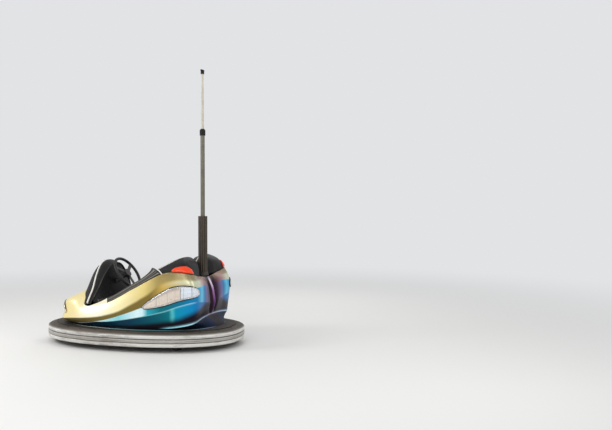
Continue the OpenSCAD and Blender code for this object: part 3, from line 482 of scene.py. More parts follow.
def mouldingFinish(name="blackMoulding", base=(16, 15, 16), rough=0.46):
    f = Finish(name, IOR=1.36)
    dust = f.noise(5, 7, 0.65)
    worn = f.noise(42, 4, 0.6).step(0.6, 0.75)
    tint = f.blend(dust.step(0.42, 0.75) * 0.4, base, (base[0] + 24, base[1] + 22, base[2] + 19))
    f.set(Base_Color=f.blend(worn * 0.12, tint, (120, 116, 108)), Roughness=rough + dust * 0.25,
          Normal=f.bump(f.cells(700), 0.0004, 0.5, f.bump(f.noise(30, 3), 0.001, 0.25)))
    return f


def leatherFinish(name="upholstery", base=(27, 25, 26)):
    f = Finish(name, IOR=1.5)
    grain = f.cells(420)
    crease = f.noise(26, 6, 0.6, twist=0.8)
    dust = f.noise(6, 6)
    f.set(Base_Color=f.blend(dust.step(0.45, 0.8) * 0.35, base, (72, 66, 60)),
          Roughness=0.36 + dust * 0.22,
          Normal=f.bump(grain, 0.0008, 0.45, f.bump(crease, 0.004, 0.35)))
    return f


def rubberFinish(name, base, dusty, rough=0.72, dustShare=0.6):
    f = Finish(name, IOR=1.45)
    dust = f.noise(11, 7, 0.68)
    f.set(Base_Color=f.blend(dust.step(0.4, 0.75) * dustShare, base, dusty),
          Roughness=rough + dust * 0.15, Normal=f.bump(f.noise(240, 3), 0.0006, 0.5))
    return f


def trimFinish():
    f = Finish("sillTrimRubber", IOR=1.42)
    worn = f.noise(14, 6, 0.66)
    # colour across the ribs: the rubber's black in the grooves, lighter bands on the rib crests that are partly wear
    # and partly painted highlight
    tint = (f.value("rib") + (worn - 0.5) * 0.1).ramp(
        (0.0, 22, 21, 20), (0.14, 74, 71, 66), (0.22, 138, 134, 126), (0.3, 26, 25, 23), (0.44, 98, 95, 89),
        (0.56, 20, 19, 18), (0.68, 150, 146, 137), (0.8, 28, 27, 25), (0.93, 58, 55, 51), (1.0, 112, 107, 99))
    f.set(Base_Color=tint, Roughness=0.42 + worn * 0.25, Normal=f.bump(f.noise(240, 3), 0.0006, 0.4))
    return f


def bumperFinish():
    f = Finish("bumperSkin", IOR=1.47)
    streak = f.noise(6, 7, 0.68, f.stretched(1.0, 1.0, 26))
    fine = f.noise(18, 5, 0.6, f.stretched(1.0, 1.0, 30))
    blot = f.noise(2.6, 5, 0.6)
    rise = f.value("rise")
    face = rise.ramp((0.0, 150, 146, 140), (0.06, 214, 212, 206), (0.29, 220, 218, 212), (0.325, 70, 64, 60),
                     (0.345, 64, 58, 54), (0.39, 176, 172, 166), (0.5, 160, 156, 150), (0.6, 188, 184, 178),
                     (0.655, 58, 54, 50), (0.68, 66, 60, 56), (0.74, 206, 204, 200), (0.95, 226, 224, 218),
                     (1.0, 150, 142, 132))
    top = f.value("slope")
    mark = (streak + (blot - 0.5) * 0.4).step(0.5, 0.66)
    bright = fine.step(0.56, 0.7) * (1 - top)
    scratch = f.noise(120, 2, 0.5, f.stretched(0.4, 0.4, 6)).step(0.66, 0.72)
    face = f.layers(face, (top, f.blend(blot, (54, 49, 43), (92, 84, 74))), (mark * 0.6, (92, 85, 78)),
                    (bright * 0.45, (240, 238, 232)), (blot.step(0.48, 0.8) * 0.3, (120, 110, 98)),
                    (scratch * 0.5, (54, 50, 48)))
    f.set(Base_Color=face, Metallic=0.1 - top * 0.1, Roughness=0.42 + mark * 0.25 + top * 0.3,
          Normal=f.bump(streak, 0.003, 0.5, f.bump(f.noise(90, 4), 0.0012, 0.6)))
    return f


def steelFinish(name, base, rust=0.3, metallic=0.4, rough=0.5):
    f = Finish(name, IOR=1.5)
    wear, spot = f.noise(9, 7, 0.68), f.noise(38, 5, 0.7)
    rusty = wear.step(0.5, 0.72) * spot.step(0.42, 0.62)
    paint = f.blend(wear.step(0.35, 0.8) * 0.45, base, [c * 0.62 for c in base])
    f.set(Base_Color=f.blend(rusty * rust, paint, (104, 68, 46)), Metallic=metallic - rusty * metallic,
          Roughness=rough + rusty * 0.3 + spot * 0.12, Normal=f.bump(spot, 0.0012, 0.4))
    return f


def brightFinish(name, base, rough=0.18, brushed=None):
    f = Finish(name, Metallic=1.0)
    smear = f.noise(16, 5)
    height = f.noise(260, 2, 0.5, f.stretched(*brushed)) if brushed else f.noise(60, 2)
    f.set(Base_Color=f.blend(smear.step(0.4, 0.8) * 0.35, base, [c * 0.72 for c in base]),
          Roughness=rough + smear * 0.16, Normal=f.bump(height, 0.0005, 0.3))
    return f


def lensFinish(name, base, clear, rough=0.06, coat=0.6):
    # a moulded lens: clearer seen square on, glossier towards its edge
    f = Finish(name, IOR=1.5, Coat_Roughness=0.03)
    edge = f.add("ShaderNodeLayerWeight", {}, {"Blend": 0.35}, "Facing")
    dust = f.noise(40, 4)
    f.set(Base_Color=f.blend(dust.step(0.5, 0.8) * 0.2, base, [0.8 * c + 30 for c in base]),
          Alpha=(clear + edge * (1 - clear)).least(1.0), Roughness=rough + dust * 0.1, Coat_Weight=coat - dust * 0.2)
    f.material.surface_render_method = "BLENDED"
    return f


def reflectorFinish(name, warm, cold, dark):
    # silvered dish behind a lens: upright divisions, with painted reflections, warm towards the tip and cold at the
    # blunt end, and painted shade along its edges
    f = Finish(name, IOR=1.5)
    p, q = f.value("lampP"), f.value("lampQ")
    tarnish = f.noise(55, 5, 0.65)
    # shade: painted shade along the dish's lower edge and across the top of its warm half
    shade = (1 - q.step(-0.95, -0.55)) * 0.35 + q.step(0.45, 0.9) * (1 - p.step(0.1, 0.25)) * 0.6
    cell = abs((p * 9).sine()).step(0.0, 0.16)
    seam = (1 - abs(p - 0.23).step(0.008, 0.024)) + (1 - abs(p - 0.66).step(0.006, 0.018)) * 0.5
    spots = tarnish.step(0.56, 0.7) * (1 - p.step(0.0, 0.5)) * q.step(-1.0, -0.2)
    tint = f.layers(warm, (p.step(0.2, 0.26), cold), (shade, (120, 104, 96)), ((1 - cell) * 0.45, dark),
                    (seam.least(0.7), dark), (spots * 0.6, (150, 132, 120)))
    f.set(Base_Color=tint, Metallic=0.25 - spots * 0.2, Roughness=0.24 + tarnish * 0.2,
          Normal=f.bump((p * 90).sine(), 0.0006, 0.5, f.bump(tarnish, 0.0008, 0.4)))
    return f


finishes = {  # by material slot, and some for single pieces
    "body_paint": paintFinish(),
    "black_moulding": mouldingFinish(),
    "cowl": mouldingFinish("cowlMoulding", (15, 14, 14), 0.42),
    "upholstery": leatherFinish(),
    "piping": rubberFinish("whitePiping", (238, 235, 228), (170, 162, 150), 0.4, 0.3),
    "sillTrim": trimFinish(),
    "trim_rubber": rubberFinish("trimRubber", (34, 32, 31), (98, 90, 80), 0.55, 0.7),
    "bumper_rubber": bumperFinish(),
    "deck": steelFinish("deckSheet", (62, 57, 50), 0.4, 0.15, 0.68),
    "floor_sheet": steelFinish("floorSheet", (118, 116, 112), 0.25, 0.5, 0.5),
    "frame_steel": steelFinish("framePaint", (70, 72, 76), 0.5, 0.3, 0.5),
    "bright_steel": brightFinish("brightSteel", (186, 188, 190), 0.2),
    "wheel_grip": rubberFinish("wheelGrip", (26, 25, 25), (60, 56, 52), 0.5, 0.4),
    "motor_paint": steelFinish("motorPaint", (52, 60, 66), 0.12, 0.2, 0.42),
    "cast_rim": steelFinish("castRim", (140, 142, 144), 0.15, 0.7, 0.42),
    "tyre": rubberFinish("tyreRubber", (30, 29, 29), (92, 86, 78), 0.75, 0.7),
    "chrome": brightFinish("lampChrome", (214, 214, 212), 0.09),
    "lens_clear": lensFinish("lensClear", (238, 238, 236), 0.1),
    "lens_red": lensFinish("lensRed", (250, 66, 4), 0.95, 0.2, 0.15),
    "tailDish": reflectorFinish("tailReflector", (238, 222, 206), (232, 240, 250), (86, 80, 80)),
    "headDish": reflectorFinish("headReflector", (236, 224, 190), (232, 222, 196), (150, 138, 112)),
    "pole_metal": brightFinish("poleMetal", (116, 112, 100), 0.42, (30, 30, 1)),
    "sleeve_metal": brightFinish("sleeveMetal", (88, 81, 73), 0.4, (40, 40, 1)),
    "rod_cream": rubberFinish("rodCream", (206, 200, 182), (150, 144, 130), 0.34, 0.5),
}
for part in frame["record"]["subparts"]:
    node = nodes[part["node"]]
    node.data.materials.clear()
    node.data.materials.append(finishes[part["material_slot"]].material)
print("finishes made")


def settle(piece, slot, *replaced):
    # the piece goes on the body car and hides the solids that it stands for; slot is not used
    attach(piece, "car")
    if replaced:
        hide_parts(*replaced)


def show(pieces, name, slot, *replaced, finish=None, sharp=40, wall=0):
    # the gathered grids as a piece of the car, a sheet gets its wall towards the inside
    piece = pieces.make(name, finishes[finish or slot], sharp)
    if wall:
        skin = piece.modifiers.new("thickness", "SOLIDIFY")
        skin.thickness, skin.offset = wall, -1
    settle(piece, slot, *replaced)


shell = dict(around=26, thick=0.004, ridge=0.013, ridgeWide=0.02, valley=0.02, valleyAt=0.058, valleyWide=0.026,
             ledge=0.009, bead=0.002,
             rows=[0, 0.08, 0.16, 0.3, 0.6, 1, 1.4, 1.7, 1.85, 1.93, 1.97, 2, 2.03, 2.07, 2.14, 2.24, 2.36, 2.5, 2.64,
                   2.76, 2.86, 2.92, 2.96, 3, 3.04, 3.08, 3.14])
# station and row along which the paint's colours change, then along which the nose steps in
goldEdge = [(0, 0.3), (1, 0.45), (1.5, 0.59), (2, 1.11), (2.5, 1.36), (3, 1.48), (3.5, 1.84), (4, 2.37), (4.5, 2.95),
            (5, 3.49), (5.5, 3.76), (6, 3.9), (6.5, 4.04), (7, 4.2), (8, 4.25), (8.5, 4.33), (9, 4.44), (9.5, 4.58),
            (10, 4.71), (11, 4.86)]
deepEdge = [(0, 0.2), (3, 0.6), (3.5, 0.89), (4, 1.26), (4.5, 1.87), (5, 2.19), (6, 2.29), (7, 2.43), (8, 2.42),
            (9, 2.55), (9.5, 2.62), (10, 2.88), (11, 3.2)]
stripEdge = [(0, 0.9), (0.5, 1.01), (1, 1.38), (1.7, 2.2), (2.5, 3.0), (3, 3.27), (3.5, 3.62), (4, 3.92), (4.5, 4.13),
             (5, 4.26), (5.5, 4.32), (6, 4.57), (6.5, 4.82), (7, 5.18), (8, 5.24), (9, 5.28), (10, 5.35), (11, 5.5)]
ledgeEdge = [(0, 2.63), (0.5, 3.03), (1, 3.37), (1.5, 3.77), (2, 4.04), (2.5, 4.15), (3, 4.25), (3.5, 4.51),
             (4, 5.1), (11, 9)]


def rowLine(table, s):
    return np.interp(s, *zip(*table))[:, None]


def ridgeLine(v, at, wide):
    return np.exp(-((v - at) / wide) ** 2)


glintLines = [  # painted highlight lines: brightness, row, width, then the stations between which it fades in and out
    (0.75, 3.0, 0.035, 5.9, 6.6, 8.8, 9.3), (0.75, 2.02, 0.04, 6.8, 7.4, 10.8, 11.4),
    (0.4, 1.55, 0.07, 8.6, 9.2, 10.6, 11), (0.55, 5.05, 0.12, 6.8, 8.0, 9.2, 9.7)]


def makeBodyShell():
    s = np.linspace(0, 22, 22 * shell["around"], endpoint=False)
    rows = np.concatenate([shell["rows"], np.linspace(3.2, 6, 66)])
    grid = bodyGrid(s, rows)
    a, v = np.minimum(s, 22 - s), rows[None, :]
    normal = normalsOf(np.concatenate([grid[-3:], grid, grid[:3]]))[3:-3]
    outward = np.sign((normal[..., :2] * grid[..., :2]).sum(-1, keepdims=True))
    above = v - rowLine(ledgeEdge, a)
    ends = (1 - smoothStep(1.9, 3.0, a))[:, None]
    step = smoothStep(-0.08, 0.06, above) * (1 - smoothStep(0.5, 1.5, above)) * ends
    inward = shell["ledge"] * step + shell["bead"] * ridgeLine(above, 0.04, 0.06) * ends
    grid -= normal * outward * inward[..., None]
    x, z = grid[..., 0], grid[..., 2]
    # the tail's ridge with a valley on both sides
    behind = smoothStep(0.6, 0.66, grid[..., 1]) * smoothStep(lip + 0.08, lip + 0.2, z)
    behind *= 1 - smoothStep(lip + 0.36, lip + 0.46, z)
    grid[..., 1] += behind * (shell["ridge"] * ridgeLine(x, 0, shell["ridgeWide"])
                              - shell["valley"] * ridgeLine(np.abs(x), shell["valleyAt"], shell["valleyWide"]))
    fade = lambda low, top, high, end: (smoothStep(low, top, a) * (1 - smoothStep(high, end, a)))[:, None]
    # glint: painted highlight lines along the crease, the skirt, the band under it and the tail's shoulder, then
    # along the lip and just under the gold edge at the front
    glint = sum(share * ridgeLine(v, at, wide) * fade(*ends) for share, at, wide, *ends in glintLines)
    glint += 0.55 * (v < 0.1) * fade(2.0, 3.6, 9.8, 10.6)
    glint += 0.6 * ridgeLine(v, rowLine(goldEdge, a) - 0.05, 0.05) * fade(3.0, 3.8, 4.8, 5.4)
    edges = dict(band=goldEdge, deep=deepEdge, strip=stripEdge)
    skin = Pieces().grid(grid, loopU=True, row=v, along=a[:, None], glint=glint, middle=np.abs(x),
                         **{name: v - rowLine(table, a) for name, table in edges.items()})
    show(skin, "bodyShell", "body_paint", "nose_panel", "side_panel_left", "side_panel_right", "tail_panel",
         sharp=28, wall=shell["thick"])


makeBodyShell()


sillEnd = dict(first=4.2, last=4.99, steps=24, rise=0.054, section=[  # out, share of the rise, drop
    (-0.001, 0, -0.002), (-0.001, 0.5, 0), (-0.001, 1, -0.005), (-0.0025, 1, -0.0015), (-0.006, 1, 0),
    (-0.02, 1, 0.001), (-0.038, 1, 0), (-0.043, 1, -0.004), (-0.043, 0, -0.002)])


def makeSillEnds():
    # painted ends of the sills, which climb to the trims
    t = sillEnd
    s = np.linspace(t["first"], t["last"], t["steps"])
    top = topEdge(s)
    rise = 0.001 + t["rise"] * (s - t["first"])
    grid = np.stack([top + np.stack([np.full(len(s), out), 0 * s, np.maximum(rise * up + drop, -0.002)], 1)
                     for out, up, drop in t["section"]], 1)
    pieces = Pieces()
    # along is scaled down so these ends carry the top band's pale stops, close to its near-white stop, a painted
    # highlight
    values = dict(row=6.0, along=s[:, None] * 0.9, band=3.0, deep=3.0, strip=2.0, glint=0.0, middle=0.4)
    for side, turned in ((grid, False), (mirrored(grid), True)):
        pieces.grid(side, flip=turned, **values)
        pieces.cap(side[-1], flip=turned)
    show(pieces, "sillEnds", "body_paint", sharp=35)


makeSillEnds()


lining = dict(wall=0.046, steps=60, first=4.0, last=7.0)


def makeLining():
    # dark cockpit walls under the sills
    s = np.linspace(lining["first"], lining["last"], lining["steps"])
    top = topEdge(s)
    inner = top - np.array([lining["wall"], 0, 0])
    rows = [top + [-0.004, 0, 0], top + [-0.004, 0, 0.0005], inner + [0.006, 0, 0.001], inner + [0, 0, -0.006]]
    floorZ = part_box("side_panel_left")[0].z
    for f in np.linspace(0.06, 1, 10):
        rows.append(np.stack([inner[:, 0], inner[:, 1], inner[:, 2] + (floorZ - inner[:, 2]) * f], 1))
    grid = np.stack(rows, 1)
    pieces = Pieces().grid(grid, flip=True).grid(mirrored(grid))
    show(pieces, "cockpitLining", "black_moulding")


makeLining()


trims = dict(height=0.054, first=5.0, last=7.0, steps=90, lean=1.9, gap=0.005,
             profile=[  # out, share of the height
                 (0.001, 0.0), (0.004, 0.1), (0.0045, 0.2), (0.002, 0.27), (-0.001, 0.3), (0.002, 0.34),
                 (0.0035, 0.45), (0.0015, 0.53), (-0.0025, 0.56), (0.0005, 0.6), (0.002, 0.7), (0.0, 0.78),
                 (-0.004, 0.82), (-0.004, 0.9), (-0.009, 0.985), (-0.016, 1.0), (-0.032, 0.985), (-0.042, 0.93),
                 (-0.0445, 0.8), (-0.0445, 0.4), (-0.0445, 0.0)])


def makeTrims():
    t = trims
    s = np.linspace(t["first"], t["last"], t["steps"])
    top = topEdge(s)
    rise = t["height"] * np.minimum(1, 0.8 + 0.2 * (s - 5))
    end = np.maximum(0, s - 6) ** 2
    grid = np.zeros((len(s), len(t["profile"]), 3))
    for k, (out, up) in enumerate(t["profile"]):
        h = rise * up
        grid[:, k] = top + np.stack([np.full(len(s), out), -end * (t["lean"] * h + t["gap"]), h + 0.0006], 1)
    pieces = Pieces()
    for side in (grid, mirrored(grid)):
        flip = side is grid
        pieces.grid(side, flip=flip, rib=np.array([up for _, up in t["profile"]])[None, :])
        pieces.cap(side[0], flip=not flip).cap(side[-1], flip=flip)
    show(pieces, "sillTrims", "trim_rubber", "sill_trims", finish="sillTrim", sharp=50)


makeTrims()


frontCowl = dict(steps=120, rows=40, thick=0.006, piping=0.0075, pipeRow=1.35, pipeRise=0.45, roll=0.006)


def makeFrontCowl():
    s = np.linspace(-3.97, 3.97, frontCowl["steps"])
    grid = frontCowlGrid(s, np.linspace(0, 3, frontCowl["rows"]))
    show(Pieces().grid(grid), "frontCowl", "black_moulding", "front_cowl", finish="cowl", wall=frontCowl["thick"])
    # the piping climbs from the sill on to the crown
    height = frontCowl["pipeRow"] + frontCowl["pipeRise"] * smoothStep(0, 1, 4 - np.abs(s))
    height *= (frontCowl["rows"] - 1) / 3
    low = np.floor(height).astype(int)
    k, part = np.arange(len(s)), (height - low)[:, None]
    arc = grid[k, low] * (1 - part) + grid[k, low + 1] * part
    arc = resample(arc + normalsOf(grid)[k, low] * 0.003, 160)
    show(addTube(Pieces(), arc, frontCowl["piping"]), "frontPiping", "upholstery", finish="piping")
    edge = resample(grid[:, -1] - [0, 0, 0.001], 160)
    show(addTube(Pieces(), edge, frontCowl["roll"], 10), "dashRoll", "trim_rubber")


makeFrontCowl()


rearCowl = dict(steps=180, rows=48, thick=0.006, piping=0.006, endPiping=0.0054)


def makeRearCowl():
    s = np.linspace(7.01, 14.99, rearCowl["steps"])
    grid = rearCowlGrid(s, np.linspace(0, 3, rearCowl["rows"]))
    show(Pieces().grid(grid), "rearCowl", "black_moulding", "rear_cowl", finish="cowl", wall=rearCowl["thick"])
    pieces = addTube(Pieces(), resample(grid[:, -1] + [0, -0.002, 0.002], 220), rearCowl["piping"])
    for end in (grid[0], grid[-1]):
        addTube(pieces, resample(end + [0, -0.001, 0], 30), rearCowl["endPiping"])
    show(pieces, "rearPiping", "upholstery", finish="piping")


makeRearCowl()


bumper = dict(steps=420, n=2.3, ribs=3, rib=0.036, groove=0.009, dents=26, crown=[
    # depth, height (above the foot, or below the top where it is negative), shares of face and sloping top
    (0.003, 0.1085, 0.98, 0.1), (0.0075, 0.1125, 1.0, 0.5), (0.0195, 0.1205, 1.0, 1.0), (0.032, -0.009, 1.0, 1.0),
    (0.046, -0.0062, 1.0, 1.0), (0.062, -0.004, 1.0, 1.0), (0.081, -0.0012, 1.0, 1.0), (0.0945, -0.001, 1.0, 1.0),
    (0.0945, 0.01, 0.0, 1.0), (0.08, 0.0, 0.0, 1.0), (0.02, 0.0, 0.0, 1.0), (0.012, 0.002, 0.0, 0.6)])
bumperLow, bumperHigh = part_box("bumper_rubber")


def bumperPlan(a, depth):
    # a point of the outline at angle a, moved in by depth
    half = (bumperHigh.x, bumperHigh.y)
    c, d = np.cos(a), np.sin(a)
    power = lambda v, e: np.sign(v) * np.abs(v) ** e
    x, y = power(c, 2 / bumper["n"]), power(d, 2 / bumper["n"])
    nx, ny = power(c, 2 - 2 / bumper["n"]) / half[0], power(d, 2 - 2 / bumper["n"]) / half[1]
    size = np.hypot(nx, ny)
    return np.stack([x * half[0] - nx / size * depth, y * half[1] - ny / size * depth], -1)


def bumperSection():
    # depth, height, share of the face's height, share of the sloping top
    high = bumperHigh.z - bumperLow.z
    rows = []
    for k in np.linspace(0, bumper["ribs"], 12 * bumper["ribs"], endpoint=False):
        hollow = abs(2 * (k % 1) - 1) ** 5
        rows.append((0.0006 + (bumper["groove"] - 0.002) * hollow, k * bumper["rib"], k / bumper["ribs"], 0.0))
    rows += [(depth, up if up >= 0 else high + up, face, top) for depth, up, face, top in bumper["crown"]]
    return np.array(rows)


def makeBumper():
    a = np.linspace(0, 2 * math.pi, bumper["steps"], endpoint=False)
    section = bumperSection()
    grid = np.zeros((len(a), len(section), 3))
    rng = np.random.default_rng(7)
    dents = np.zeros(len(a))
    for _ in range(bumper["dents"]):
        centre, width, depth = rng.uniform(0, 2 * math.pi), rng.uniform(0.015, 0.06), rng.uniform(0.0006, 0.0022)
        gap = np.abs((a - centre + math.pi) % (2 * math.pi) - math.pi)
        dents += depth * np.exp(-(gap / width) ** 2)
    for k, (depth, height, _, _) in enumerate(section):
        hit = dents * (k < 12 * bumper["ribs"] + 2) * (0.6 + 0.4 * math.sin(k * 0.35))
        grid[:, k, :2] = bumperPlan(a, depth + hit)
        grid[:, k, 2] = bumperLow.z + height
    skin = Pieces().grid(grid, loopU=True, loopV=True, rise=section[None, :, 2], slope=section[None, :, 3])
    show(skin, "bumperSkin", "bumper_rubber", "bumper_rubber", sharp=42)


makeBumper()
print("body, cowls and bumper made")


# screws round the bumper's top, the head's profile is radius and height
screws = dict(count=28, depth=0.060, sink=0.0045, sides=18, head=[
    (0.01125, -0.001), (0.01125, 0.0012), (0.01065, 0.0018), (0.0075, 0.0018), (0.0069, 0.0028), (0.0045, 0.0045),
    (0.00225, 0.0043), (0.0021, 0.0025)])


def makeScrews():
    a = np.linspace(0, 2 * math.pi, 2000)
    run = bumperPlan(a, screws["depth"])
    length = np.concatenate([[0], np.cumsum(np.linalg.norm(np.diff(run, axis=0), axis=1))])
    spots = np.interp((np.arange(screws["count"]) + 0.5) / screws["count"] * length[-1], length, a)
    pieces = Pieces()
    for x, y in bumperPlan(spots, screws["depth"]):
        addDisc(pieces, (x, y, bumperHigh.z - screws["sink"]), (0, 0, 1), screws["head"], screws["sides"])
    show(pieces, "bumperScrews", "frame_steel")


makeScrews()


def bodyPoints(s, v):
    # points of the body at arrays of loop positions and rows
    r = railsAt(s)
    j = np.clip(np.floor(v).astype(int), 2, 5)
    k = np.arange(len(s))
    b, c = r[k, j], r[k, j + 1]
    a = np.where((j > 2)[:, None], r[k, np.maximum(j - 1, 0)], 2 * b - c)
    d = np.where((j < 5)[:, None], r[k, np.minimum(j + 2, 6)], 2 * c - b)
    return catmull(a, b, c, d, (v - j)[:, None])


def cowlPoints(s, w):
    return np.array([rearCowlGrid([p], [q])[0, 0] for p, q in zip(s, w)])


def overSurface(at, s, v, h):
    # points at a height h over the surface at(s, v)
    e = 0.02
    shape = np.broadcast_shapes(np.shape(s), np.shape(v), np.shape(h))
    s, v, h = (np.broadcast_to(q, shape).reshape(-1).astype(float) for q in (s, v, h))
    n = unit(np.cross(at(s + e, v) - at(s - e, v), at(s, v + e) - at(s, np.maximum(v - e, 0))))
    return (at(s, v) + n * h[:, None]).reshape(*shape, 3)


def lampOutline(look, p):
    # loop position, low row and high row at p, which runs from -1 to 1 along the lamp
    first, last = look["run"]
    leaf = np.sqrt(np.maximum(0.0004, 1 - np.abs(p) ** np.where(p > 0, look["blunt"], 2.0)))
    middle = look["row"] + look["bow"] * (1 - p * p)
    return first + (last - first) * (p + 1) / 2, middle - look["under"] * leaf, middle + look["over"] * leaf


def lampGrid(at, look, ps, qs, height):
    p, q = np.meshgrid(ps, qs, indexing="ij")
    s, low, high = lampOutline(look, p)
    return overSurface(at, s, low + (high - low) * (q + 1) / 2, height(p, q))


def lampRim(name, at, look, stretch, wide, height, radius, finish, slot, sides):
    # a closed tube round the lamp on both sides of the car
    p = np.sin(np.linspace(-1, 1, look["p"]) * math.pi / 2) * stretch
    edge = lampGrid(at, look, p, [-wide, wide], lambda p, q: 0 * p + height)
    loop = resample(np.vstack([edge[:, 1], edge[::-1, 0][1:-1]]), look["rim"])
    pieces = Pieces()
    for side in (loop, mirrored(loop)):
        addTube(pieces, side, radius, sides, closed=True)
    show(pieces, name, slot, finish=finish)


def makeLamp(name, at, look):
    # reflector, lens, bezel and gasket on both sides of the car
    q, p = np.linspace(-1, 1, look["q"]), np.sin(np.linspace(-1, 1, look["p"]) * math.pi / 2)
    pitch, ribDepth, ribBase = look["ribs"]
    ribs = lambda p, q: ribBase + ribDepth * np.abs(np.sin(p * pitch)) * (0.7 + 0.3 * np.cos(q * 9))
    dome = lambda p, q: look["base"] + look["dome"] * np.sqrt((1 - p ** 4) * (1 - q ** 4))
    inner = lampGrid(at, look, p * 0.985, q * 0.96, ribs)
    outer = lampGrid(at, look, p, q, dome)
    shape = dict(lampP=p[:, None], lampQ=q[None, :])
    for part, grid, finish, stands in (("Reflector", inner, look["back"], []), ("Lens", outer, None, look["nodes"])):
        pieces = Pieces().grid(grid, **shape).grid(mirrored(grid), flip=True, **shape)
        show(pieces, name + part, look["slot"], *stands, finish=finish, sharp=60)
    if look["bezel"]:
        lampRim(name + "Bezel", at, look, 1, 1, look["base"], look["bezel"], "chrome", "bright_steel", 10)
    if look["gasket"]:
        lampRim(name + "Gasket", at, look, 1.014, 1.09, 0.003, look["gasket"], "black_moulding", "trim_rubber", 8)


# run, row, bow, under, over and blunt give the outline; ribs are pitch, depth and base inside
makeLamp("tailLamp", bodyPoints, dict(
    run=(6.36, 9.28), row=4, bow=0.12, under=0.58, over=0.58, blunt=5.0, p=120, q=30, rim=220, base=0.006, dome=0.012,
    ribs=(34, 0.004, 0.0025), back="tailDish", bezel=0.0046, gasket=0.0072, slot="lens_clear",
    nodes=["tail_lamps"]))
makeLamp("headLamp", bodyPoints, dict(
    run=(0.3, 2.15), row=4.05, bow=0, under=0, over=0.95, blunt=2.0, p=90, q=30, rim=200, base=0.004, dome=0.014,
    ribs=(26, 0.005, 0.003), back="headDish", bezel=0.0036, gasket=0, slot="lens_clear",
    nodes=["headlamps"]))
makeLamp("cowlLamp", cowlPoints, dict(
    run=(7.66, 9.22), row=0.08, bow=0, under=0, over=0.72, blunt=3.0, p=70, q=20, rim=160, base=0.004, dome=0.012,
    ribs=(40, 0.003, 0.002), back="chrome", bezel=0, gasket=0, slot="lens_red", nodes=["cowl_lamps"]))
print("lamps made")


def edgeEnds(mesh):
    ends = np.empty(len(mesh.edges) * 2, np.int64)
    mesh.edges.foreach_get("vertices", ends)
    return ends[::2], ends[1::2]


def inflate(piece, look, frames=20, passes=4):
    # swell a closed form as a pad under pressure, smooth it and keep the result
    scene = bpy.context.scene
    bpy.context.view_layer.objects.active = piece
    piece.data.remesh_voxel_size = look["voxel"]
    with bpy.context.temp_override(object=piece, active_object=piece):
        bpy.ops.object.voxel_remesh()
    count = len(piece.data.vertices)
    start = np.empty(count * 3)
    piece.data.vertices.foreach_get("co", start)
    start = start.reshape(-1, 3)
    cloth = piece.modifiers.new("swell", "CLOTH")
    cloth.settings.use_pressure = True
    cloth.settings.uniform_pressure_force = look["pressure"]
    cloth.settings.effector_weights.gravity = 0
    cloth.settings.quality = 5
    for k in range(1, frames + 1):
        scene.frame_set(k)
    depsgraph = bpy.context.evaluated_depsgraph_get()
    swollen = np.empty(count * 3)
    piece.evaluated_get(depsgraph).data.vertices.foreach_get("co", swollen)
    move = swollen.reshape(-1, 3) - start
    far = np.linalg.norm(move, axis=1, keepdims=True)
    move *= np.minimum(1, look["cap"] / np.maximum(far, 1e-9))
    piece.modifiers.remove(cloth)
    scene.frame_set(1)
    spots = start + move
    a, b = edgeEnds(piece.data)
    joined = np.bincount(np.concatenate([a, b]), minlength=count)[:, None]
    for k in range(passes):
        total = np.zeros_like(spots)
        np.add.at(total, a, spots[b])
        np.add.at(total, b, spots[a])
        spots = (spots + total / joined) / 2
    piece.data.vertices.foreach_set("co", spots.reshape(-1))
    piece.data.shade_smooth()
    piece.data.update()


def closedPad(front, back, pieces=None, turned=False):
    # a closed form between two grids of the same size
    pieces = pieces or Pieces()
    pieces.grid(front, flip=turned).grid(back, flip=not turned)
    for band in (np.concatenate([back[:, :1], front[:, :1]], 1), np.concatenate([front[:, -1:], back[:, -1:]], 1),
                 np.stack([back[0], front[0]]), np.stack([front[-1], back[-1]])):
        pieces.grid(band, flip=turned)
    return pieces


pad = dict(span=(7.04, 14.96), low=0.995, high=0.02, board=0.0135, thick=0.066, cols=130, rows=46, channel=0.35,
           channelWide=0.16, bolsters=(8.35, 13.65), piping=0.0052, voxel=0.006, pressure=3.5, cap=0.012, fill=0.7)


def padDepth(s, w):
    a = (stations - np.abs(signedRun(s))) / 4
    lobes = 1 - a[:, None] ** 4
    return 0.35 + 0.65 * lobes * (1 - (2 * np.asarray(w)[None, :] - 1) ** 4)


def makeBackrest():
    s = np.linspace(*pad["span"], pad["cols"])
    w = np.linspace(pad["low"], pad["high"], pad["rows"])
    depth = padDepth(s, w)
    groove = ridgeLine(s, stations, pad["channelWide"])[:, None] * pad["channel"]  # the two lobes meet in a channel
    back = boardGrid(s, w, pad["board"] + 0 * depth)
    front = boardGrid(s, w, pad["board"] + pad["thick"] * depth * (1 - groove))
    piece = closedPad(front, back).make("backrestPad", finishes["upholstery"])
    inflate(piece, pad)
    settle(piece, "upholstery", "backrest_pad")
    # piping on the swollen face, between the bolsters and the middle
    face = BVHTree.FromPolygons([v.co for v in piece.data.vertices], [p.vertices for p in piece.data.polygons])
    pieces = Pieces()
    for at in pad["bolsters"]:
        col = int(np.argmin(np.abs(s - at)))
        path = []
        for x, y, z in resample(front[col, 5:-3], 60):
            hit = face.ray_cast(Vector((x, y - 0.2, z)), Vector((0, 1, 0)))[0]
            path.append((x, hit.y + 0.001 if hit else y, z))
        path = np.array(path)
        path[2:-2, 1] = (path[:-4, 1] + path[1:-3, 1] + path[2:-2, 1] + path[3:-1, 1] + path[4:, 1]) / 5
        addTube(pieces, path, pad["piping"], 10)
    show(pieces, "bolsterPiping", "upholstery", finish="piping")


makeBackrest()


cushion = dict(half=0.338, inset=0.012, sunk=0.022, foot=0.006, crown=0.018, channel=0.22, channelWide=0.035, cols=90,
               rows=50, voxel=0.006, pressure=4.0, cap=0.014, fill=0.75)


